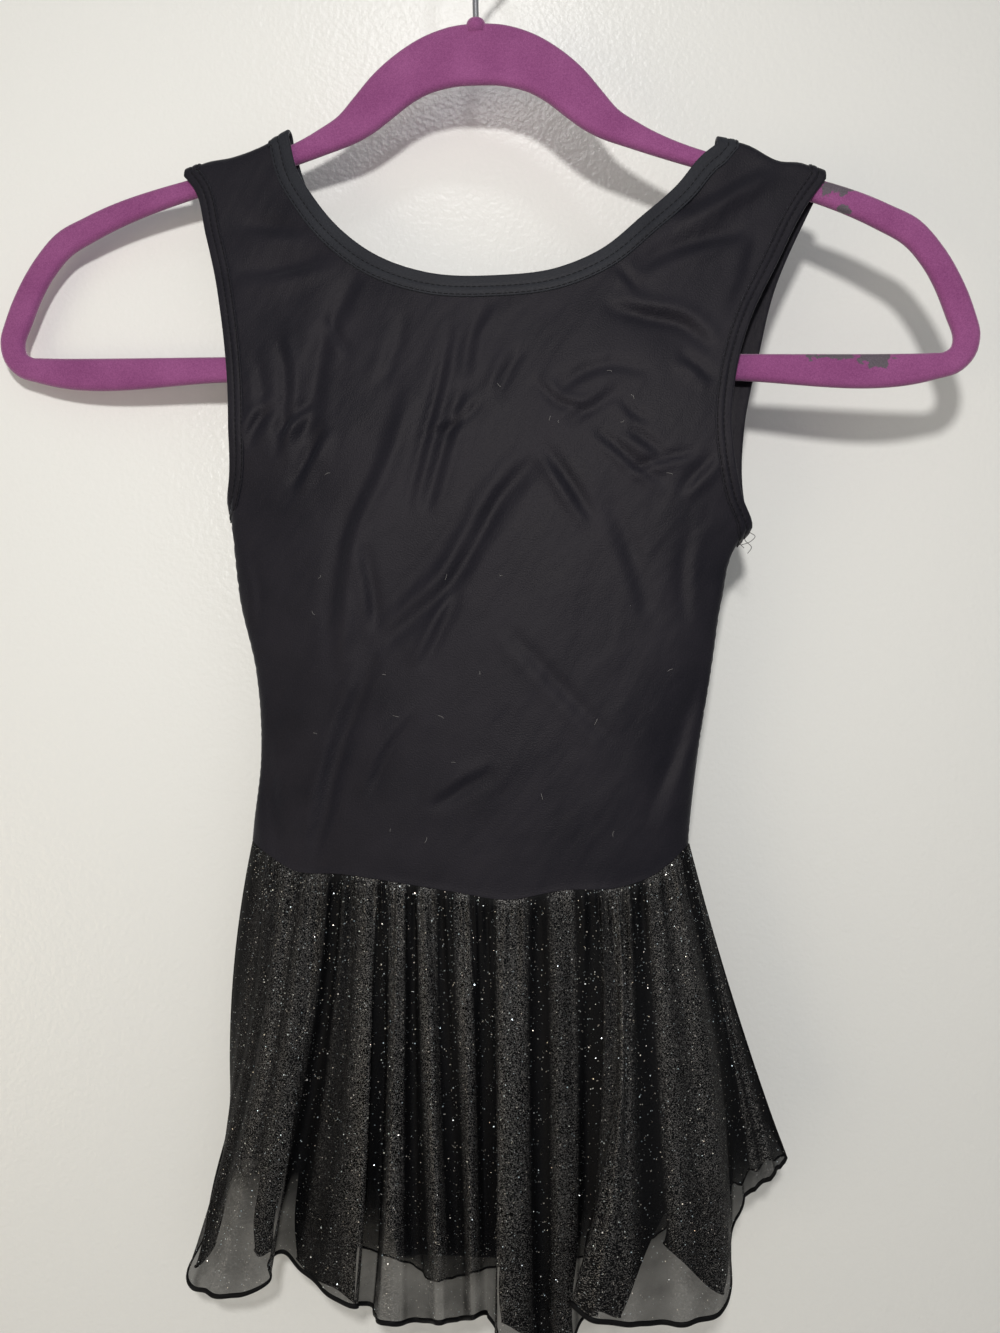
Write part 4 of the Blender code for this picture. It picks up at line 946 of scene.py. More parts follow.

# %% [markdown]
# The deep folds turn back behind themselves near the hem, and there the mesh lies double and looks
# nearly black. Each fold's hidden layer is a strip with its own rolled hem. The strips have no crest
# value, so the mesh finish also gives them its painted valley shade.

# %% Hidden layers of the folds
FOLD_LAYERS = {
    "fold_far_left": ((-111.3, -562.8), (-102.9, -562.5), (-130.2, -639.9), (-120.7, -628.4), -3.0),
    "fold_left": ((-100.4, -588.8), (-88.1, -588.3), (-105.1, -635.6), (-95.6, -634.2), 3.0),
    "fold_second": ((-81.3, -579.3), (-46.8, -578.1), (-84.1, -636.0), (-56.6, -653.5), -1.0),
    "fold_middle": ((12.0, -589.9), (47.1, -588.5), (12.4, -652.5), (44.0, -657.5), -14.0),
    "fold_flare": ((57.8, -577.9), (96.0, -577.3), (44.9, -643.5), (63.8, -648.5), -10.5),
    "fold_right": ((84.3, -586.8), (114.5, -585.7), (84.3, -617.9), (110.5, -640.4), -6.0),
}
LAYER_WAVE, LAYER_SWAY, LAYER_SAG, LAYER_HEM_RADIUS = 1.4, 1.3, 1.8, 0.75
LAYER_ROWS, LAYER_COLUMNS = 24, 30


def make_fold_layer(name, corners):
    """A strip between four corners, waved a little, and the line of its hem."""
    *places, depth = corners
    top_left, top_right, hem_left, hem_right = (np.array([x, depth, z]) for x, z in places)
    down = np.linspace(0.0, 1.0, LAYER_ROWS)[:, None, None]
    over = np.linspace(0.0, 1.0, LAYER_COLUMNS)[None, :, None]
    rows = (top_left * (1 - over) + top_right * over) * (1 - down)
    rows = rows + (hem_left * (1 - over) + hem_right * over) * down
    wave = np.sin(over * 2.6 * math.pi + down * 2.0 + top_left[0])[..., 0]
    rows[..., 1] += LAYER_WAVE * wave * down[..., 0]
    rows[..., 0] += LAYER_SWAY * np.sin(down[..., 0] * 7.0 + top_left[0]) * down[..., 0]
    rows[..., 2] -= LAYER_SAG * np.sin(math.pi * over[..., 0]) * down[..., 0] ** 3
    faces = grid_faces(LAYER_ROWS, LAYER_COLUMNS, True)
    uv = cloth_lengths(rows).reshape(-1, 2)
    return make_mesh(name, rows.reshape(-1, 3), faces, uv), rows[-1]


fold_layers, layer_hems = [], []
for layer_name, layer_corners in FOLD_LAYERS.items():
    layer, hem_line = make_fold_layer(layer_name, layer_corners)
    fold_layers.append(layer)
    layer_hems.append((hem_line, np.full(len(hem_line), LAYER_HEM_RADIUS)))
fold_hems = thread_mesh("fold_hems", layer_hems)

# %% [markdown]
# The glitter is real geometry: small six-sided flakes stuck to the mesh at slightly different
# angles. Only those that happen to face a light flash, which a painted dot would not do.

# %% Glitter flakes
SMALL_FLAKE, LARGE_FLAKE, FLAKE_RARITY = 0.1, 0.27, 2.2
FLAKE_TILT, FLAKE_LIFT, FLAKE_SIDES = 0.55, 0.3, 6


def make_flakes(name, rows, side, count, seed):
    """Flakes at random places of a sheet, small ones far more often than large ones."""
    rng = np.random.default_rng(seed)
    out = outward_of(rows, side)
    r = rng.uniform(1.2, len(rows) - 1.6, count)
    c = rng.uniform(0.5, rows.shape[1] - 1.5, count)
    i, j = r.astype(int), c.astype(int)
    u, v = (r - i)[:, None], (c - j)[:, None]
    spots = (rows[i, j] * (1 - u) * (1 - v) + rows[i + 1, j] * u * (1 - v)
             + rows[i, j + 1] * (1 - u) * v + rows[i + 1, j + 1] * u * v)
    facing = unit(out[i, j] + rng.normal(0.0, FLAKE_TILT, (count, 3)))
    first = unit(np.cross(facing, [0.0, 0.0, 1.0]))
    second = np.cross(facing, first)
    size = SMALL_FLAKE + (LARGE_FLAKE - SMALL_FLAKE) * rng.random(count) ** FLAKE_RARITY
    centre = spots + out[i, j] * FLAKE_LIFT
    points = []
    for step in range(FLAKE_SIDES):
        a = 2 * math.pi * step / FLAKE_SIDES
        points.append(centre + (first * math.cos(a) + second * math.sin(a)) * size[:, None])
    points = np.stack(points, axis=1).reshape(-1, 3)
    faces = [tuple(range(k, k + FLAKE_SIDES)) for k in range(0, count * FLAKE_SIDES, FLAKE_SIDES)]
    print(name, count, "flakes")
    return make_mesh(name, points, faces)


flakes_front = make_flakes("glitter_front", front_skirt_rows, FRONT, 5500, 11)
flakes_back = make_flakes("glitter_back", back_skirt_rows, BACK, 4500, 12)

# %% [markdown]
# Under the skirt a brief closes the leotard. The photograph hides it, so it is finished plainly:
# two jersey panels and a band round each leg, in the same way as the body and its armholes.

# %% Brief
BRIEF_INSET, BRIEF_SIDE_INSET, BRIEF_TOP_RISE = 1.8, 3.0, 3.0
LEG_TOP, CROTCH, CROTCH_HALF, CROTCH_FOLD_RADIUS = -520.0, -632.0, 31.0, 4.5
CROTCH_END = CROTCH + CROTCH_FOLD_RADIUS * (1 - math.pi / 2)
LEG_EDGE = ((33.0, -621.0), (44.0, -596.0), (62.0, -566.0), (84.0, -538.0))
BRIEF_DEPTH = (
    (-632.0, 4.5, 4.5), (-600.0, 5.0, 5.5), (-540.0, 5.5, 7.0), (-500.0, 7.5, 9.0),
    (-436.0, 14.2, 10.4),
)
BRIEF_STEP = 6.0


def brief_size(side, h):
    left, right = sides(h)
    depth = look_up(BRIEF_DEPTH, h, 1 if side == FRONT else 2) - BRIEF_INSET
    half = (right - left) / 2 - BRIEF_SIDE_INSET
    return (left + right) / 2, half, np.maximum(depth, CROTCH_FOLD_RADIUS)


def brief_reach(side, h):
    _, half, depth = brief_size(side, np.atleast_1d(np.asarray(h, float)))
    return arc_tables(half, depth, BRIEF_BLUNT)[:, -1]


def brief_place(side, p, h):
    p, h = arrays(p, h)
    middle, half, depth = brief_size(side, h)
    angle = angle_at(arc_tables(half, depth, BRIEF_BLUNT), np.abs(p))
    x = middle + np.sign(p) * half * np.sin(angle)
    below = CROTCH + CROTCH_FOLD_RADIUS - h
    turn = np.maximum(below, 0.0) / CROTCH_FOLD_RADIUS
    y = np.where(below > 0, CROTCH_FOLD_RADIUS * np.cos(turn),
                 depth * np.cos(angle).clip(0.0) ** BRIEF_BLUNT)
    z = np.where(below > 0, h + below - CROTCH_FOLD_RADIUS * np.sin(turn), h)
    return np.stack([x, side * y, z], axis=1)


def leg_line(side, sign, distance):
    """A line beside the leg edge, distance into the panel, from the crotch to the side seam."""
    places = [(sign * CROTCH_HALF, CROTCH_END)] + [(sign * x, h) for x, h in LEG_EDGE]
    places.append((sign * brief_reach(side, LEG_TOP)[0], LEG_TOP))
    path = moved_in(path_through(places, 2.5), sign * distance, (-1.0, 0.0), (0.0, sign))
    path[:, 0] = sign * np.minimum(np.abs(path[:, 0]), brief_reach(side, path[:, 1]))
    return path


def make_brief(name, side):
    legs = {sign: leg_line(side, sign, LEG_BAND_WIDTH - UNDER_BAND) for sign in (1, -1)}
    seams = {}
    for sign, leg in legs.items():
        high = float(waist_height(side, 200.0 * sign)) + BRIEF_TOP_RISE
        heights = np.linspace(leg[-1][1], high, 16)
        seams[sign] = np.stack([sign * brief_reach(side, heights), heights], axis=1)
    p = np.linspace(seams[1][-1][0], seams[-1][-1][0], 40)[1:-1]
    x = brief_place(side, p, -450.0)[:, 0]
    waist = np.stack([p, waist_height(side, x) + BRIEF_TOP_RISE], axis=1)
    outline = np.concatenate([legs[1][:-1], seams[1], waist, seams[-1][::-1], legs[-1][:-1][::-1]])
    flat, faces = filled(outline, BRIEF_STEP)
    points, normals = with_normals(brief_place, side, flat)
    return make_cloth(name, side, points, normals, faces, flat)


def leg_edge(sign):
    return lambda side, distance: leg_line(side, sign, distance)


brief_front = make_brief("brief_front_cloth", FRONT)
brief_back = make_brief("brief_back_cloth", BACK)
leg_band_left = make_band("leg_left_cloth", brief_place, leg_edge(-1), LEG_BAND_WIDTH, LEG_ROWS, False)
leg_band_right = make_band("leg_right_cloth", brief_place, leg_edge(1), LEG_BAND_WIDTH, LEG_ROWS, True)
leg_stitches_left = stitch_rows("leg_stitches_left", brief_place, leg_edge(-1), LEG_ROWS)
leg_stitches_right = stitch_rows("leg_stitches_right", brief_place, leg_edge(1), LEG_ROWS)

# %% [markdown]
# The hanger is one flat plastic moulding with rounded edges, covered in velvet flock. Its outline
# was measured on the right half and mirrored, and a rounded section is carried round it.

# %% Hanger
BAR_TOP, BAR_BOTTOM = -222.2, -233.8
HANGER_EDGE = (
    (0.0, -71.2, 0.0, -98.9), (12.0, -72.4, 10.0, -99.3), (24.0, -76.2, 21.0, -101.8),
    (37.0, -83.8, 31.0, -107.0), (48.0, -93.2, 40.0, -114.0), (57.0, -103.8, 49.0, -120.5),
    (64.5, -112.4, 58.0, -125.0), (*ARM_START, 70.0, -129.2), (*ARM_END, 178.5, -167.2),
    (196.0, -163.2, 189.5, -173.6), (207.0, -175.5, 197.8, -183.0),
    (215.2, -189.5, 203.8, -193.6), (221.0, -204.0, 209.0, -206.8),
    (223.6, -214.5, 211.8, -214.7), (221.5, -223.8, 211.0, -219.6),
    (215.0, -230.6, 207.6, BAR_TOP + 0.3), (205.0, BAR_BOTTOM, 203.0, BAR_TOP),
    (110.0, BAR_BOTTOM, 110.0, BAR_TOP), (0.0, BAR_BOTTOM, 0.0, BAR_TOP),
)
HANGER_STEP, EDGE_STEPS = 2.6, 8


def hanger_stations():
    rows = np.asarray(HANGER_EDGE)
    steps = np.linalg.norm(np.diff(rows[:, :2], axis=0), axis=1)
    keys = np.concatenate([[0.0], np.cumsum(steps)])
    at = np.linspace(0.0, keys[-1], int(keys[-1] / HANGER_STEP) + 1)
    half = np.stack([smooth(keys, rows[:, i], at) for i in range(4)], axis=1)
    other = half[1:-1][::-1] * (-1.0, 1.0, -1.0, 1.0)
    return np.concatenate([half, other])


def make_hanger():
    stations = hanger_stations()
    radius = HANGER_THICKNESS / 2
    outer, inner = stations[:, :2], stations[:, 2:]
    up = unit(outer - inner)
    rings = []
    for centre, start in ((outer - up * radius, 0.0), (inner + up * radius, math.pi)):
        for step in range(EDGE_STEPS + 1):
            angle = start + math.pi * step / EDGE_STEPS
            x, z = tilted(*(centre + up * radius * math.sin(angle)).T)
            rings.append(np.stack([x, np.full(len(x), -radius * math.cos(angle)), z], axis=1))
    faces = grid_faces(len(rings), len(stations), False, around=True, closed=True)
    made = make_mesh("hanger_flocked", np.concatenate(rings), faces)
    print("hanger_flocked", len(faces), "faces")
    return made


def turned(name, profile, sides_count=32):
    """A round piece about the hook's shank, from rows of radius and height."""
    points = []
    for radius, z in profile:
        for s in range(sides_count):
            angle = 2 * math.pi * s / sides_count
            points.append((radius * math.cos(angle), radius * math.sin(angle), z))
    faces = grid_faces(len(profile), sides_count, closed=True)
    faces.append(tuple(range(sides_count))[::-1])
    last = (len(profile) - 1) * sides_count
    faces.append(tuple(last + s for s in range(sides_count)))
    return make_mesh(name, points, faces)


hanger = make_hanger()
BOSS_PROFILE = ((4.5, -76.0), (4.6, -72.4), (4.35, -71.1), (3.8, -70.3), (3.1, -69.9),
                (2.3, -69.85), (1.9, -70.1), (1.5, -71.0))
boss = turned("hanger_boss", BOSS_PROFILE)

# %% [markdown]
# The hook is one length of plated wire. It goes straight up out of the boss, sweeps aside and
# comes round, so that the rail sits on the line through the hanger's middle.

# %% Hook
WIRE_RADIUS, HOOK_INNER_RADIUS = 1.4, 19.0
HOOK_SHANK = ((0.0, -71.0), (0.0, -58.0), (1.2, -51.0), (5.5, -44.4), (11.3, -38.2))
HOOK_START, HOOK_END = -36.0, 205.0


def make_hook():
    radius = HOOK_INNER_RADIUS + WIRE_RADIUS
    angles = np.radians(np.linspace(HOOK_START, HOOK_END, 18))
    loop = np.stack([radius * np.cos(angles), radius * np.sin(angles) - HOOK_INNER_RADIUS], axis=1)
    route = path_through(np.concatenate([HOOK_SHANK, loop]), 1.6)
    curve = bpy.data.curves.new("hook_wire", "CURVE")
    curve.dimensions = "3D"
    curve.bevel_depth = WIRE_RADIUS * MM
    curve.bevel_resolution = 5
    curve.use_fill_caps = True
    spline = curve.splines.new("POLY")
    spline.points.add(len(route) - 1)
    for point, (x, z) in zip(spline.points, route):
        point.co = (x * MM, 0.0, z * MM, 1.0)
    spline.use_smooth = True
    made = bpy.data.objects.new("hook_wire", curve)
    bpy.context.collection.objects.link(made)
    print("hook wire points", len(route))
    return made


hook = make_hook()

# %% [markdown]
# Where the right armhole meets the side seam, the band's closing stitches have come loose. A few
# grey ends curl there, and a little lint clings to the jersey.

# %% Loose thread ends
LOOSE_ENDS = (
    ((121.5, -1.5, -303.5), (124.5, -3.0, -306.0), (122.0, -3.4, -308.5), (118.6, -3.0, -309.6)),
    ((122.5, -1.0, -304.0), (120.0, -3.2, -307.4), (122.8, -3.6, -311.0), (121.2, -3.2, -313.5)),
    ((119.5, -2.5, -306.5), (117.6, -4.2, -309.0), (119.4, -4.6, -311.2)),
)
LOOSE_RADIUS = 0.16
LINT_COUNT, LINT_RADIUS, LINT_LIFT, LINT_POINTS = 26, 0.055, 0.6, 6


def make_loose_ends():
    runs = []
    for route in LOOSE_ENDS:
        line = path_through(route, 0.5)
        runs.append((line, np.full(len(line), LOOSE_RADIUS)))
    return thread_mesh("loose_threads", runs)


def make_lint(seed):
    rng = np.random.default_rng(seed)
    along_x = rng.uniform(-80, 85, LINT_COUNT)
    places = np.stack([along_x, rng.uniform(-440, -210, LINT_COUNT)], axis=1)
    spots, normals = with_normals(place, FRONT, places)
    runs = []
    for spot, normal in zip(spots, normals):
        angle, length = rng.uniform(0, math.pi), rng.uniform(0.8, 3.2)
        along = np.array([math.cos(angle), 0.0, math.sin(angle)])
        bend = np.array([-math.sin(angle), 0.0, math.cos(angle)]) * rng.uniform(-0.5, 0.5)
        t = np.linspace(-0.5, 0.5, LINT_POINTS)[:, None]
        line = spot + normal * LINT_LIFT + along * length * t + bend * (1 - 4 * t * t)
        runs.append((line, np.full(LINT_POINTS, LINT_RADIUS)))
    return thread_mesh("lint", runs)


loose_threads = make_loose_ends()
lint = make_lint(5)

# %% [markdown]
# Several finishes share an effect, so each effect is a node group with named inputs. It puts out
# only values, colours and masks. The shader itself stays in the material.

# %% Node group helpers
def new_group(name, inputs, outputs):
    """A shader node group. inputs are (name, socket type, default); outputs are (name, type)."""
    group = bpy.data.node_groups.new(name, "ShaderNodeTree")
    for label, kind, default in inputs:
        made = group.interface.new_socket(name=label, in_out="INPUT", socket_type=kind)
        made.default_value = default
    for label, kind in outputs:
        group.interface.new_socket(name=label, in_out="OUTPUT", socket_type=kind)
    return group, group.nodes.new("NodeGroupInput"), group.nodes.new("NodeGroupOutput")


def set_input(tree, socket, value):
    """Link a socket to another one, or give it a plain value."""
    if isinstance(value, bpy.types.NodeSocket):
        tree.links.new(value, socket)
    else:
        socket.default_value = value


def math_node(tree, operation, first, second, clamp=False):
    """A Math node whose two inputs are sockets or numbers. Returns its output socket."""
    made = tree.nodes.new("ShaderNodeMath")
    made.operation = operation
    made.use_clamp = clamp
    set_input(tree, made.inputs[0], first)
    set_input(tree, made.inputs[1], second)
    return made.outputs[0]


def noise_node(tree, vector, scale, detail=2.0, roughness=0.5):
    """A noise value over a vector. Its scale is a socket or a number."""
    made = tree.nodes.new("ShaderNodeTexNoise")
    tree.links.new(vector, made.inputs["Vector"])
    set_input(tree, made.inputs["Scale"], scale)
    made.inputs["Detail"].default_value = detail
    made.inputs["Roughness"].default_value = roughness
    return made.outputs["Fac"]


def ranged(tree, value, low, high, to_low=0.0, to_high=1.0):
    """A value mapped from one range to another and kept inside it."""
    made = tree.nodes.new("ShaderNodeMapRange")
    tree.links.new(value, made.inputs["Value"])
    for label, number in (("From Min", low), ("From Max", high), ("To Min", to_low),
                          ("To Max", to_high)):
        made.inputs[label].default_value = number
    return made.outputs["Result"]


def mixed(tree, factor, first, second):
    """A colour mix whose colours are sockets or RGB values."""
    made = tree.nodes.new("ShaderNodeMix")
    made.data_type = "RGBA"
    tree.links.new(factor, made.inputs["Factor"])
    for socket, value in ((made.inputs[6], first), (made.inputs[7], second)):
        set_input(tree, socket, (*value, 1.0) if isinstance(value, tuple) else value)
    return made.outputs[2]


print("group helpers ready")

# %% [markdown]
# The loops of this knit are too fine to see one by one. What shows is a fine grain, and a broad,
# uneven black where it is worn. Both are noise over the cloth's own UV, so they follow the cloth
# round every curve, and the jersey and the mesh share them.

# %% Knit effect
def make_knit_group():
    group, given, out = new_group(
        "Knit",
        (("Place", "NodeSocketVector", (0.0, 0.0, 0.0)), ("Mottle Scale", "NodeSocketFloat", 30.0),
         ("Grain Scale", "NodeSocketFloat", 1500.0)),
        (("Mottle", "NodeSocketFloat"), ("Grain", "NodeSocketFloat")),
    )
    for label, detail in (("Mottle", 3.0), ("Grain", 1.0)):
        noise = noise_node(group, given.outputs["Place"], given.outputs[label + " Scale"], detail)
        group.links.new(noise, out.inputs[label])
    return group


knit_group = make_knit_group()
print(knit_group.name, [item.name for item in knit_group.interface.items_tree])

# %% [markdown]
# Fine glitter that is too small to model is a scatter of tiny cells, each with its own random
# brightness. Each use takes its own share of them: a few cells for specks, which take their
# cell's colour, and most cells for the fine dust between.

# %% Sparkle effect
def make_sparkle_group():
    group, given, out = new_group(
        "Sparkle",
        (("Place", "NodeSocketVector", (0.0, 0.0, 0.0)), ("Cell Scale", "NodeSocketFloat", 1400.0),
         ("Share", "NodeSocketFloat", 0.1)),
        (("Mask", "NodeSocketFloat"), ("Tint", "NodeSocketColor")),
    )
    cells = group.nodes.new("ShaderNodeTexVoronoi")
    cells.voronoi_dimensions = "3D"
    group.links.new(given.outputs["Place"], cells.inputs["Vector"])
    group.links.new(given.outputs["Cell Scale"], cells.inputs["Scale"])
    parts = group.nodes.new("ShaderNodeSeparateColor")
    group.links.new(cells.outputs["Color"], parts.inputs[0])
    chosen = math_node(group, "LESS_THAN", parts.outputs[0], given.outputs["Share"])
    near = math_node(group, "LESS_THAN", cells.outputs["Distance"], 0.42)
    bright = ranged(group, parts.outputs[1], 0.0, 1.0, 0.25, 1.0)
    mask = math_node(group, "MULTIPLY", math_node(group, "MULTIPLY", chosen, near), bright)
    group.links.new(mask, out.inputs["Mask"])
    tint = mixed(group, parts.outputs[2], (0.72, 0.84, 0.9), (0.95, 0.87, 0.76))
    group.links.new(tint, out.inputs["Tint"])
    return group


sparkle_group = make_sparkle_group()
print(sparkle_group.name, "ready")

# %% [markdown]
# Flock wears off where hangers knock together, and leaves the grey plastic. The wear is a mask
# around a few measured spots, broken up by noise so that its edge is ragged.

# %% Wear effect
def make_wear_group():
    group, given, out = new_group(
        "Wear Spot",
        (("Place", "NodeSocketVector", (0.0, 0.0, 0.0)),
         ("Centre", "NodeSocketVector", (0.0, 0.0, 0.0)), ("Stretch", "NodeSocketVector", (1, 1, 1)),
         ("Radius", "NodeSocketFloat", 0.01), ("Ragged", "NodeSocketFloat", 0.006)),
        (("Mask", "NodeSocketFloat"),),
    )
    away = group.nodes.new("ShaderNodeVectorMath")
    away.operation = "SUBTRACT"
    group.links.new(given.outputs["Place"], away.inputs[0])
    group.links.new(given.outputs["Centre"], away.inputs[1])
    scaled = group.nodes.new("ShaderNodeVectorMath")
    scaled.operation = "MULTIPLY"
    group.links.new(away.outputs[0], scaled.inputs[0])
    group.links.new(given.outputs["Stretch"], scaled.inputs[1])
    length = group.nodes.new("ShaderNodeVectorMath")
    length.operation = "LENGTH"
    group.links.new(scaled.outputs[0], length.inputs[0])
    noise = noise_node(group, given.outputs["Place"], 260.0, 3.0, 0.6)
    push = math_node(group, "MULTIPLY", math_node(group, "SUBTRACT", noise, 0.5),
                     math_node(group, "MULTIPLY", given.outputs["Ragged"], 4.0))
    reach = math_node(group, "SUBTRACT", given.outputs["Radius"],
                      math_node(group, "ADD", length.outputs["Value"], push))
    mask = ranged(group, reach, -0.0003, 0.0006)
    group.links.new(mask, out.inputs["Mask"])
    return group


wear_group = make_wear_group()
print(wear_group.name, "ready")

# %% [markdown]
# Now the finishes. Each starts from one Principled shader whose constants are set on its own
# sockets, and only what changes over the surface is linked.

# %% Material helpers
def new_material(name, **constants):
    """A material and its shader. Constants are set straight on the shader's sockets."""
    made = bpy.data.materials.new(name)
    made.use_nodes = True
    shader = made.node_tree.nodes["Principled BSDF"]
    for label, value in constants.items():
        shader.inputs[label.replace("_", " ")].default_value = value
    return made, shader


def place_socket(tree, kind):
    return tree.nodes.new("ShaderNodeTexCoord").outputs[kind]


def add_bump(tree, shader, height, strength, distance):
    bump = tree.nodes.new("ShaderNodeBump")
    bump.inputs["Strength"].default_value = strength
    bump.inputs["Distance"].default_value = distance
    tree.links.new(height, bump.inputs["Height"])
    tree.links.new(bump.outputs["Normal"], shader.inputs["Normal"])


def use_group(tree, group, **values):
    made = tree.nodes.new("ShaderNodeGroup")
    made.node_tree = group
    for label, value in values.items():
        set_input(tree, made.inputs[label.replace("_", " ")], value)
    return made


# %% [markdown]
# The jersey is matt black with a bluish cast, and a little paler where it is worn. Its soft
# wrinkles are smaller than the creases, so they are a bump of stretched noise, laid at a slant as
# the cloth hangs. The neck and leg bands are doubled and pressed, so they are nearly free of them,
# and they are given a paler black.

# %% Black jersey
JERSEY_DARK, JERSEY_WORN = (0.0042, 0.0044, 0.0078), (0.0148, 0.0136, 0.0185)
BAND_DARK, BAND_WORN = (0.0115, 0.0125, 0.0165), (0.025, 0.0275, 0.0335)
LOOP_DEPTH, JERSEY_CRUMPLE, BAND_CRUMPLE = 0.00017, 0.0026, 0.0005
WRINKLE_SLANT, WRINKLE_STRETCH, WRINKLE_SCALE = math.radians(-30), (1.0, 2.4, 1.0), 34.0


def make_jersey(name, dark, worn, crumple_depth):
    """Matt stretch knit. crumple_depth is the height of its soft wrinkles, in metres."""
    made, shader = new_material(
        name, Specular_IOR_Level=0.13, Specular_Tint=(1.0, 0.93, 0.92, 1.0),
        Sheen_Weight=0.08, Sheen_Roughness=0.4, Sheen_Tint=(0.85, 0.9, 1.0, 1.0),
    )
    tree = made.node_tree
    uv = place_socket(tree, "UV")
    knit = use_group(tree, knit_group, Place=uv)
    tone = ranged(tree, knit.outputs["Mottle"], 0.3, 0.72)
    speck = ranged(tree, knit.outputs["Grain"], 0.35, 0.75, 0.0, 0.5)
    base = mixed(tree, math_node(tree, "ADD", math_node(tree, "MULTIPLY", tone, 0.6), speck, True),
                 dark, worn)
    tree.links.new(base, shader.inputs["Base Color"])
    tree.links.new(ranged(tree, knit.outputs["Mottle"], 0.2, 0.8, 0.48, 0.6),
                   shader.inputs["Roughness"])
    slant = tree.nodes.new("ShaderNodeMapping")
    slant.vector_type = "TEXTURE"
    slant.inputs["Rotation"].default_value = (0.0, 0.0, WRINKLE_SLANT)
    slant.inputs["Scale"].default_value = WRINKLE_STRETCH
    tree.links.new(uv, slant.inputs["Vector"])
    wrinkles = noise_node(tree, slant.outputs["Vector"], WRINKLE_SCALE, 3.0, 0.52)
    loops = math_node(tree, "MULTIPLY", knit.outputs["Grain"], LOOP_DEPTH / crumple_depth)
    add_bump(tree, shader, math_node(tree, "ADD", wrinkles, loops), 1.0, crumple_depth)
    return made


jersey = make_jersey("jersey_knit", JERSEY_DARK, JERSEY_WORN, JERSEY_CRUMPLE)
band_jersey = make_jersey("jersey_band", BAND_DARK, BAND_WORN, BAND_CRUMPLE)
thread_black, _ = new_material(
    "stitch_thread", Base_Color=(0.004, 0.004, 0.005, 1.0), Roughness=0.6, Specular_IOR_Level=0.15,
)
print("jersey finishes", jersey.name, band_jersey.name, thread_black.name)

# %% [markdown]
# The mesh is half air, so one layer lets the wall show through and two are nearly black. Alpha
# follows the weave, and rises where the cloth hides the wall: in the gathers and where it is seen
# edge-on. It rises down in the valleys of the folds as well, partly for the packed mesh and partly
# as painted shade. The rolled hem is the same cloth turned over on itself, so it is solid. The fine
# glitter dust shows on the crests of the folds as a painted highlight, and is nearly left out of the
# valleys as painted shade.

# %% Sheer glitter mesh
MESH_DARK, MESH_PALE = (0.0012, 0.0013, 0.0018), (0.0045, 0.0045, 0.005)
HEM_PALE = (0.012, 0.0115, 0.0115)
LAYER_ALPHA, PACKED_TO = (0.62, 0.77), (0.13, 0.168)
CREST_HIGHLIGHT_SHARE, DUST_AND_HIGHLIGHT_COLOUR = (0.01, 1.0), (0.36, 0.348, 0.335)


def add_layer_alpha(tree, shader, uv, knit, crest):
    """Single mesh lets the wall show. Packed gathers, edge-on sheets and valleys hide it; in the
    valleys this is partly painted shade.
    """
    parts = tree.nodes.new("ShaderNodeSeparateXYZ")
    tree.links.new(uv, parts.inputs[0])
    gathered = ranged(tree, parts.outputs["Y"], -PACKED_TO[1], -PACKED_TO[0], 0.0, 0.25)
    # The valleys of the folds get more alpha, partly for the packed mesh and partly as painted shade.
    valley = ranged(tree, crest.outputs["Fac"], 0.0, 1.0, 0.08, 0.0)
    slant = tree.nodes.new("ShaderNodeLayerWeight")
    slant.inputs["Blend"].default_value = 0.5
    edge_on = ranged(tree, slant.outputs["Facing"], 0.42, 0.85, 0.0, 0.25)
    weave = ranged(tree, knit.outputs["Mottle"], 0.3, 0.7, *LAYER_ALPHA)
    packed = math_node(tree, "ADD", gathered, math_node(tree, "ADD", valley, edge_on))
    tree.links.new(math_node(tree, "ADD", weave, packed, True), shader.inputs["Alpha"])


def make_mesh_cloth(name, sheer, pale):
    """Glitter mesh. Its dust shows on the crests of the folds as a painted highlight and fades in the
    valleys as painted shade.
    """
    made, shader = new_material(name, Roughness=0.58, Specular_IOR_Level=0.08)
    tree = made.node_tree
    uv = place_socket(tree, "UV")
    knit = use_group(tree, knit_group, Place=uv, Mottle_Scale=60.0)
    specks = use_group(tree, sparkle_group, Place=uv, Cell_Scale=2300.0, Share=0.014)
    fine = use_group(tree, sparkle_group, Place=uv, Cell_Scale=3400.0, Share=0.6)
    crest = tree.nodes.new("ShaderNodeAttribute")
    crest.attribute_name = "crest"
    # The crest value paints the glitter dust as a highlight on the crests of the folds and nearly
    # takes it away in the valleys as painted shade.
    painted_crest_light = ranged(tree, crest.outputs["Fac"], 0.3, 1.0, *CREST_HIGHLIGHT_SHARE)
    dust_and_highlight = math_node(tree, "MULTIPLY", fine.outputs["Mask"], painted_crest_light)
    base = mixed(tree, ranged(tree, knit.outputs["Grain"], 0.4, 0.75), MESH_DARK, pale)
    dust_and_highlight_base = mixed(tree, dust_and_highlight, base, DUST_AND_HIGHLIGHT_COLOUR)
    tree.links.new(mixed(tree, specks.outputs["Mask"], dust_and_highlight_base, specks.outputs["Tint"]),
                   shader.inputs["Base Color"])
    tree.links.new(math_node(tree, "MAXIMUM", dust_and_highlight, specks.outputs["Mask"]),
                   shader.inputs["Metallic"])
    if sheer:
        add_layer_alpha(tree, shader, uv, knit, crest)
    add_bump(tree, shader, knit.outputs["Grain"], 0.5, 0.0002)
    return made


glitter_mesh = make_mesh_cloth("sheer_glitter_mesh", True, MESH_PALE)
hem_mesh = make_mesh_cloth("rolled_hem_mesh", False, HEM_PALE)


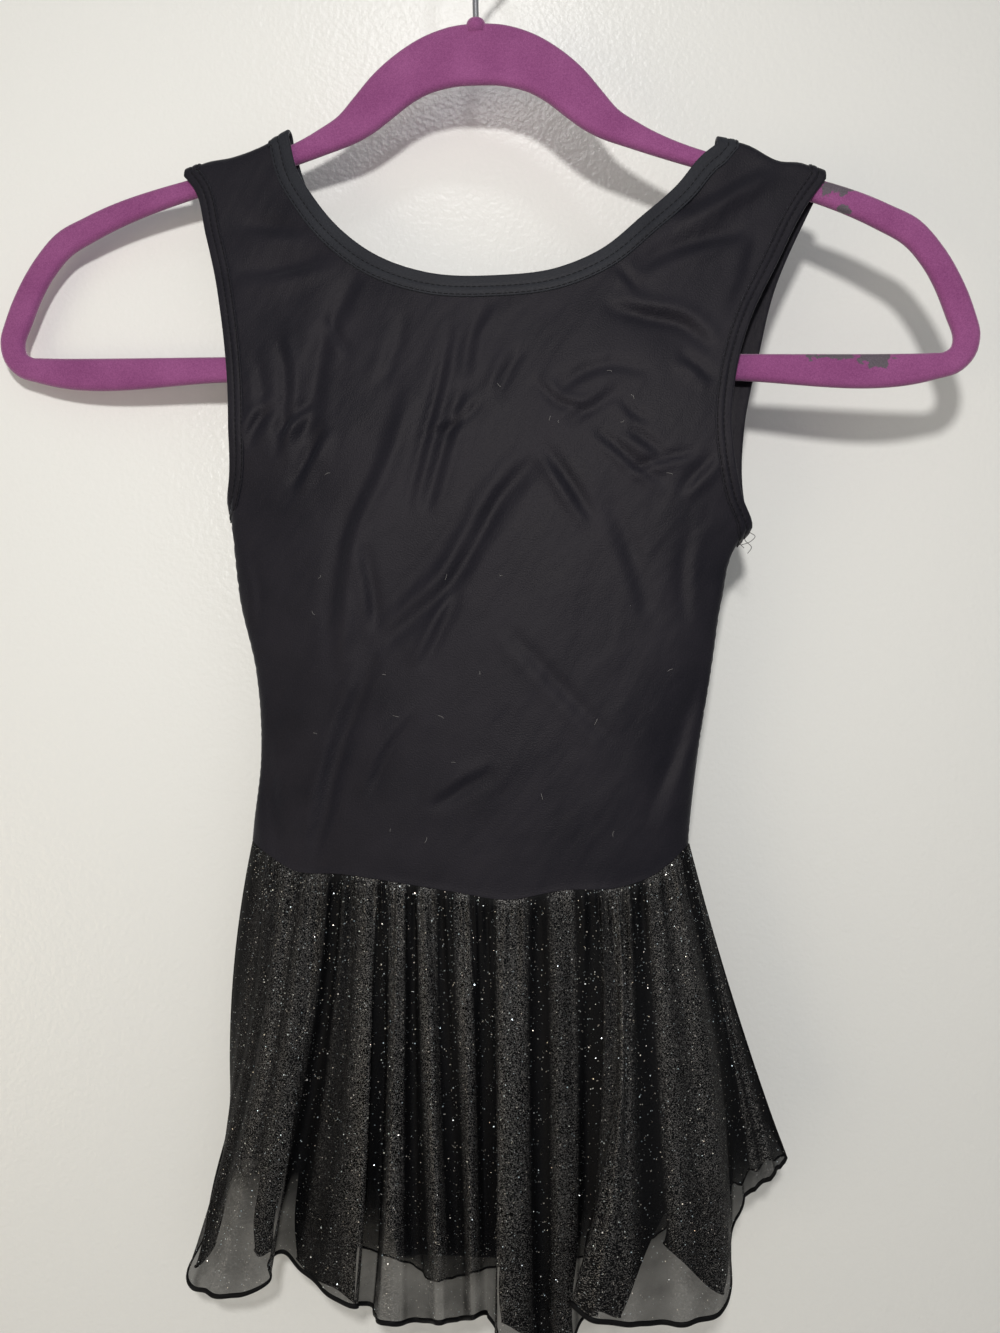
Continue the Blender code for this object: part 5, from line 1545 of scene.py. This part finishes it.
def make_flake_finish():
    made, shader = new_material("glitter_flake", Metallic=1.0, Roughness=0.34)
    tree = made.node_tree
    island = tree.nodes.new("ShaderNodeNewGeometry").outputs["Random Per Island"]
    tree.links.new(mixed(tree, island, (0.62, 0.78, 0.86), (0.95, 0.86, 0.74)),
                   shader.inputs["Base Color"])
    return made


flake_finish = make_flake_finish()
print("mesh finishes", glitter_mesh.name, hem_mesh.name, flake_finish.name)

# %% [markdown]
# Velvet flock is a coat of upright fibres. It looks pale at the edges, where light rakes through
# the fibres, and that is what sheen does. Fine noise gives the nap, and broad noise the places
# where hands have pressed it.

# %% Flock, plastic, steel and thread
WEAR_SPOTS = (
    ((0.1605, -0.0035, -0.1520), (0.8, 0.4, 1.3), 0.0056),
    ((0.1615, -0.0035, -0.1625), (0.9, 0.4, 1.6), 0.0036),
    ((0.1575, -0.0035, -0.2262), (0.36, 0.4, 2.4), 0.0042),
    ((0.1766, -0.0035, -0.2280), (0.8, 0.4, 1.1), 0.0048),
)
FLOCK_DEEP, FLOCK_PALE = (0.18, 0.042, 0.138), (0.305, 0.094, 0.24)
PLASTIC_DEEP, PLASTIC_PALE = (0.07, 0.055, 0.07), (0.12, 0.1, 0.12)


def make_flock():
    made, shader = new_material(
        "velvet_flock", Roughness=0.92, Specular_IOR_Level=0.15, Sheen_Weight=0.85,
        Sheen_Roughness=0.36, Sheen_Tint=(1.0, 0.86, 0.94, 1.0),
    )
    tree = made.node_tree
    spot = place_socket(tree, "Object")
    nap = noise_node(tree, spot, 1900.0, 2.0, 0.7)
    pressed = noise_node(tree, spot, 45.0, 3.0)
    tone = math_node(tree, "ADD", ranged(tree, nap, 0.3, 0.7, 0.0, 0.75),
                     ranged(tree, pressed, 0.3, 0.7, -0.1, 0.3), True)
    colour = mixed(tree, tone, FLOCK_DEEP, FLOCK_PALE)
    worn = None
    for centre, stretch, radius in WEAR_SPOTS:
        mask = use_group(tree, wear_group, Place=spot, Centre=centre, Stretch=stretch,
                         Radius=radius, Ragged=0.004).outputs["Mask"]
        worn = mask if worn is None else math_node(tree, "MAXIMUM", worn, mask)
    grey = mixed(tree, ranged(tree, nap, 0.3, 0.7), PLASTIC_DEEP, PLASTIC_PALE)
    tree.links.new(mixed(tree, worn, colour, grey), shader.inputs["Base Color"])
    tree.links.new(ranged(tree, worn, 0.0, 1.0, 0.92, 0.5), shader.inputs["Roughness"])
    height = math_node(tree, "MULTIPLY", nap, ranged(tree, worn, 0.0, 1.0, 1.0, 0.15))
    add_bump(tree, shader, height, 0.6, 0.0004)
    return made


flock = make_flock()
steel, _ = new_material(
    "hook_plating", Base_Color=(0.33, 0.33, 0.34, 1.0), Metallic=1.0, Roughness=0.46,
)
loose_thread_finish, _ = new_material(
    "loose_thread", Base_Color=(0.07, 0.068, 0.066, 1.0), Roughness=0.7,
)
lint_fibre, _ = new_material("lint_fibre", Base_Color=(0.3, 0.29, 0.28, 1.0), Roughness=0.8)
print("hanger finishes", flock.name, steel.name)

# %% [markdown]
# Each piece now gets its finish and rides on the one rigid body, and the solid of the part that it
# stands for is hidden. A table gives each sheet of cloth the size it was cut to, its area, how it is
# held, what it hangs from and the pieces that go with it; only the cut size is printed, beside the
# area of the made shape.

# %% Finishes, places and cut sizes
PIECES = (
    (body_front, jersey, "black_jersey", ("bodice_front",)),
    (body_back, jersey, "black_jersey", ("bodice_back",)),
    (neck_band, band_jersey, "black_jersey", ("neck_band",)),
    (arm_band_left, jersey, "black_jersey", ("armhole_band_left",)),
    (arm_band_right, jersey, "black_jersey", ("armhole_band_right",)),
    (neck_stitches, thread_black, "black_jersey", ()),
    (arm_stitches_left, thread_black, "black_jersey", ()),
    (arm_stitches_right, thread_black, "black_jersey", ()),
    (skirt_front, glitter_mesh, "glitter_mesh", ("skirt_front",)),
    (skirt_back, glitter_mesh, "glitter_mesh", ("skirt_back",)),
    (skirt_hem, hem_mesh, "glitter_mesh", ()),
    (skirt_seams, hem_mesh, "glitter_mesh", ()),
    *((layer, glitter_mesh, "glitter_mesh", ()) for layer in fold_layers),
    (fold_hems, hem_mesh, "glitter_mesh", ()),
    (flakes_front, flake_finish, "glitter_mesh", ()),
    (flakes_back, flake_finish, "glitter_mesh", ()),
    (brief_front, jersey, "black_jersey", ("brief_front",)),
    (brief_back, jersey, "black_jersey", ("brief_back",)),
    (leg_band_left, band_jersey, "black_jersey", ("leg_band_left",)),
    (leg_band_right, band_jersey, "black_jersey", ("leg_band_right",)),
    (leg_stitches_left, thread_black, "black_jersey", ()),
    (leg_stitches_right, thread_black, "black_jersey", ()),
    (hanger, flock, "purple_flock", ("hanger_body",)),
    (boss, flock, "purple_flock", ()),
    (hook, steel, "hook_steel", ("hanger_hook",)),
    (loose_threads, loose_thread_finish, "black_jersey", ()),
    (lint, lint_fibre, "black_jersey", ()),
)
for piece, finish, slot, nodes in PIECES:
    piece.data.materials.clear()
    piece.data.materials.append(finish)
    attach(piece, "root")
    if nodes:
        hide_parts(*nodes)

SHEETS = (
    (body_front, (0.262, 0.345), 0.066, "hung", [hanger], []),
    (body_back, (0.262, 0.335), 0.057, "hung", [hanger], []),
    (neck_band, (0.594, 0.011), None, "stretched", [body_front, body_back], [neck_stitches]),
    (arm_band_left, (0.328, 0.01), None, "stretched", [body_front], [arm_stitches_left]),
    (arm_band_right, (0.34, 0.01), None, "stretched", [body_front], [arm_stitches_right]),
    (skirt_front, (0.546, 0.188), 0.079, "gathered", [body_front],
     [skirt_hem, flakes_front, fold_hems, *fold_layers]),
    (skirt_back, (0.37, 0.19), 0.0635, "gathered", [body_back], [flakes_back]),
    (brief_front, (0.2, 0.185), 0.026, "hung", [body_front], []),
    (brief_back, (0.2, 0.185), 0.027, "hung", [body_back], []),
    (leg_band_left, (0.27, 0.01), None, "stretched", [brief_front], [leg_stitches_left]),
    (leg_band_right, (0.27, 0.01), None, "stretched", [brief_front], [leg_stitches_right]),
)
for cloth, flat, area, held, rests_on, more in SHEETS:
    print(cloth.name, "cut", flat, "m, shape", round(sum(f.area for f in cloth.data.polygons), 4))
print(len(PIECES), "pieces,", len(SHEETS), "sheets")

# %% [markdown]
# The camera stands where the photographer stood: level, 455 mm in front of the hanger, and turned
# a little to the left, which was solved from the hanger's two ends.

# %% Camera
CAMERA_ACROSS, CAMERA_BACK, CAMERA_HEIGHT, CAMERA_LENS = 0.01093, 0.455, -0.3636, 27.0
CAMERA_TURN = math.radians(4.15)
RIGHT = Vector((math.cos(CAMERA_TURN), math.sin(CAMERA_TURN), 0.0))
FORWARD = Vector((-math.sin(CAMERA_TURN), math.cos(CAMERA_TURN), 0.0))
EYE = RIGHT * CAMERA_ACROSS - FORWARD * CAMERA_BACK + Vector((0.0, 0.0, CAMERA_HEIGHT))

camera_data = bpy.data.cameras.new("camera")
camera_data.lens = CAMERA_LENS
camera_data.sensor_width = 36.0
camera_data.clip_start = 0.01
camera = bpy.data.objects.new("camera", camera_data)
camera.location = EYE
camera.rotation_euler = (math.pi / 2, 0.0, CAMERA_TURN)
bpy.context.collection.objects.link(camera)
bpy.context.scene.camera = camera
print("camera at", [round(c, 4) for c in camera.location])

# %% [markdown]
# The leotard hangs against a pale painted wall, as in the photograph. The wall stands nearly square
# to the camera, a little behind the skirt, and is seen only from its front, so that the back of the
# leotard can be looked at too. A pale floor lies well below.

# %% Wall and floor
WALL_GAP, WALL_TURN, WALL_SIZE, FLOOR_Z = 0.041, 0.06, 6.0, -1.25


def one_sided(name, colour, roughness, bump_scale, bump_distance):
    """A painted finish that is clear when it is seen from behind."""
    made, shader = new_material(name, Base_Color=(*colour, 1.0), Roughness=roughness)
    tree = made.node_tree
    spot = place_socket(tree, "Object")
    relief = math_node(tree, "ADD", noise_node(tree, spot, bump_scale, 2.0),
                       math_node(tree, "MULTIPLY", noise_node(tree, spot, bump_scale / 4), 0.6))
    add_bump(tree, shader, relief, 0.35, bump_distance)
    clear = tree.nodes.new("ShaderNodeBsdfTransparent")
    choice = tree.nodes.new("ShaderNodeMixShader")
    back = tree.nodes.new("ShaderNodeNewGeometry").outputs["Backfacing"]
    tree.links.new(back, choice.inputs[0])
    tree.links.new(shader.outputs[0], choice.inputs[1])
    tree.links.new(clear.outputs[0], choice.inputs[2])
    output = tree.nodes["Material Output"]
    tree.links.new(choice.outputs[0], output.inputs["Surface"])
    return made


def make_plane(name, corners, finish):
    mesh = bpy.data.meshes.new(name)
    mesh.from_pydata([tuple(c) for c in corners], [], [(0, 1, 2, 3)])
    mesh.materials.append(finish)
    made = bpy.data.objects.new(name, mesh)
    bpy.context.collection.objects.link(made)
    return made


wall_paint = one_sided("wall_paint", (0.8, 0.795, 0.765), 0.27, 430.0, 0.0006)
floor_paint = one_sided("floor_paint", (0.7, 0.695, 0.68), 0.6, 60.0, 0.0005)
wall_foot = FORWARD * WALL_GAP + Vector((0.0, 0.0, FLOOR_Z))
half_wall = (RIGHT + FORWARD * WALL_TURN) * (WALL_SIZE / 2)
wall_rise = Vector((0.0, 0.0, WALL_SIZE / 2))
wall = make_plane("wall", (wall_foot - half_wall, wall_foot + half_wall,
                           wall_foot + half_wall + wall_rise, wall_foot - half_wall + wall_rise),
                  wall_paint)
wall.visible_shadow = False
make_plane("floor", ((-3, -3, FLOOR_Z), (3, -3, FLOOR_Z), (3, 3, FLOOR_Z), (-3, 3, FLOOR_Z)),
           floor_paint)
print("wall", round(WALL_GAP * 1000), "mm behind the hook")

# %% [markdown]
# The shadows give the lamp away: it is small, a little above and behind the camera. A second lamp
# only makes the painted wall shine near the hook. A warm one fills the left, one lights the back,
# and a pale world does the rest.

# %% Lights
def add_light(name, location, target, size, watts, colour):
    data = bpy.data.lights.new(name, "AREA")
    data.shape = "DISK"
    data.size = size
    data.energy = watts
    data.color = colour
    made = bpy.data.objects.new(name, data)
    made.location = location
    made.rotation_mode = "QUATERNION"
    made.rotation_quaternion = (Vector(target) - Vector(location)).to_track_quat("-Z", "Y")
    bpy.context.collection.objects.link(made)
    return made


MIDDLE = Vector((0.01, 0.0, -0.36))


def from_camera(right, up, ahead):
    """A place given in metres from the camera."""
    return EYE + RIGHT * right + FORWARD * ahead + Vector((0.0, 0.0, up))


LIGHTS = (
    ("key", (-0.0215, 0.224, -0.234), 0.06, 3.55, (1.0, 0.985, 0.96)),
    ("shine", (0.125, 1.267, -1.0), 0.3, 4.0, (1.0, 1.0, 1.0)),
    ("fill", (-1.3, -0.7, -0.9), 1.2, 9.5, (1.0, 0.86, 0.64)),
    ("back", (0.4, 0.9, 2.6), 1.4, 12.0, (1.0, 1.0, 1.0)),
)
lamps = {}
for lamp_name, offset, size, watts, colour in LIGHTS:
    lamps[lamp_name] = add_light(lamp_name, from_camera(*offset), MIDDLE, size, watts, colour)
lamps["shine"].visible_diffuse = False

world = bpy.data.worlds.new("room")
world.use_nodes = True
world.node_tree.nodes["Background"].inputs["Color"].default_value = (0.96, 0.98, 1.0, 1.0)
world.node_tree.nodes["Background"].inputs["Strength"].default_value = 0.38
bpy.context.scene.world = world
bpy.context.scene.view_settings.view_transform = "Standard"
print("lights", list(lamps))
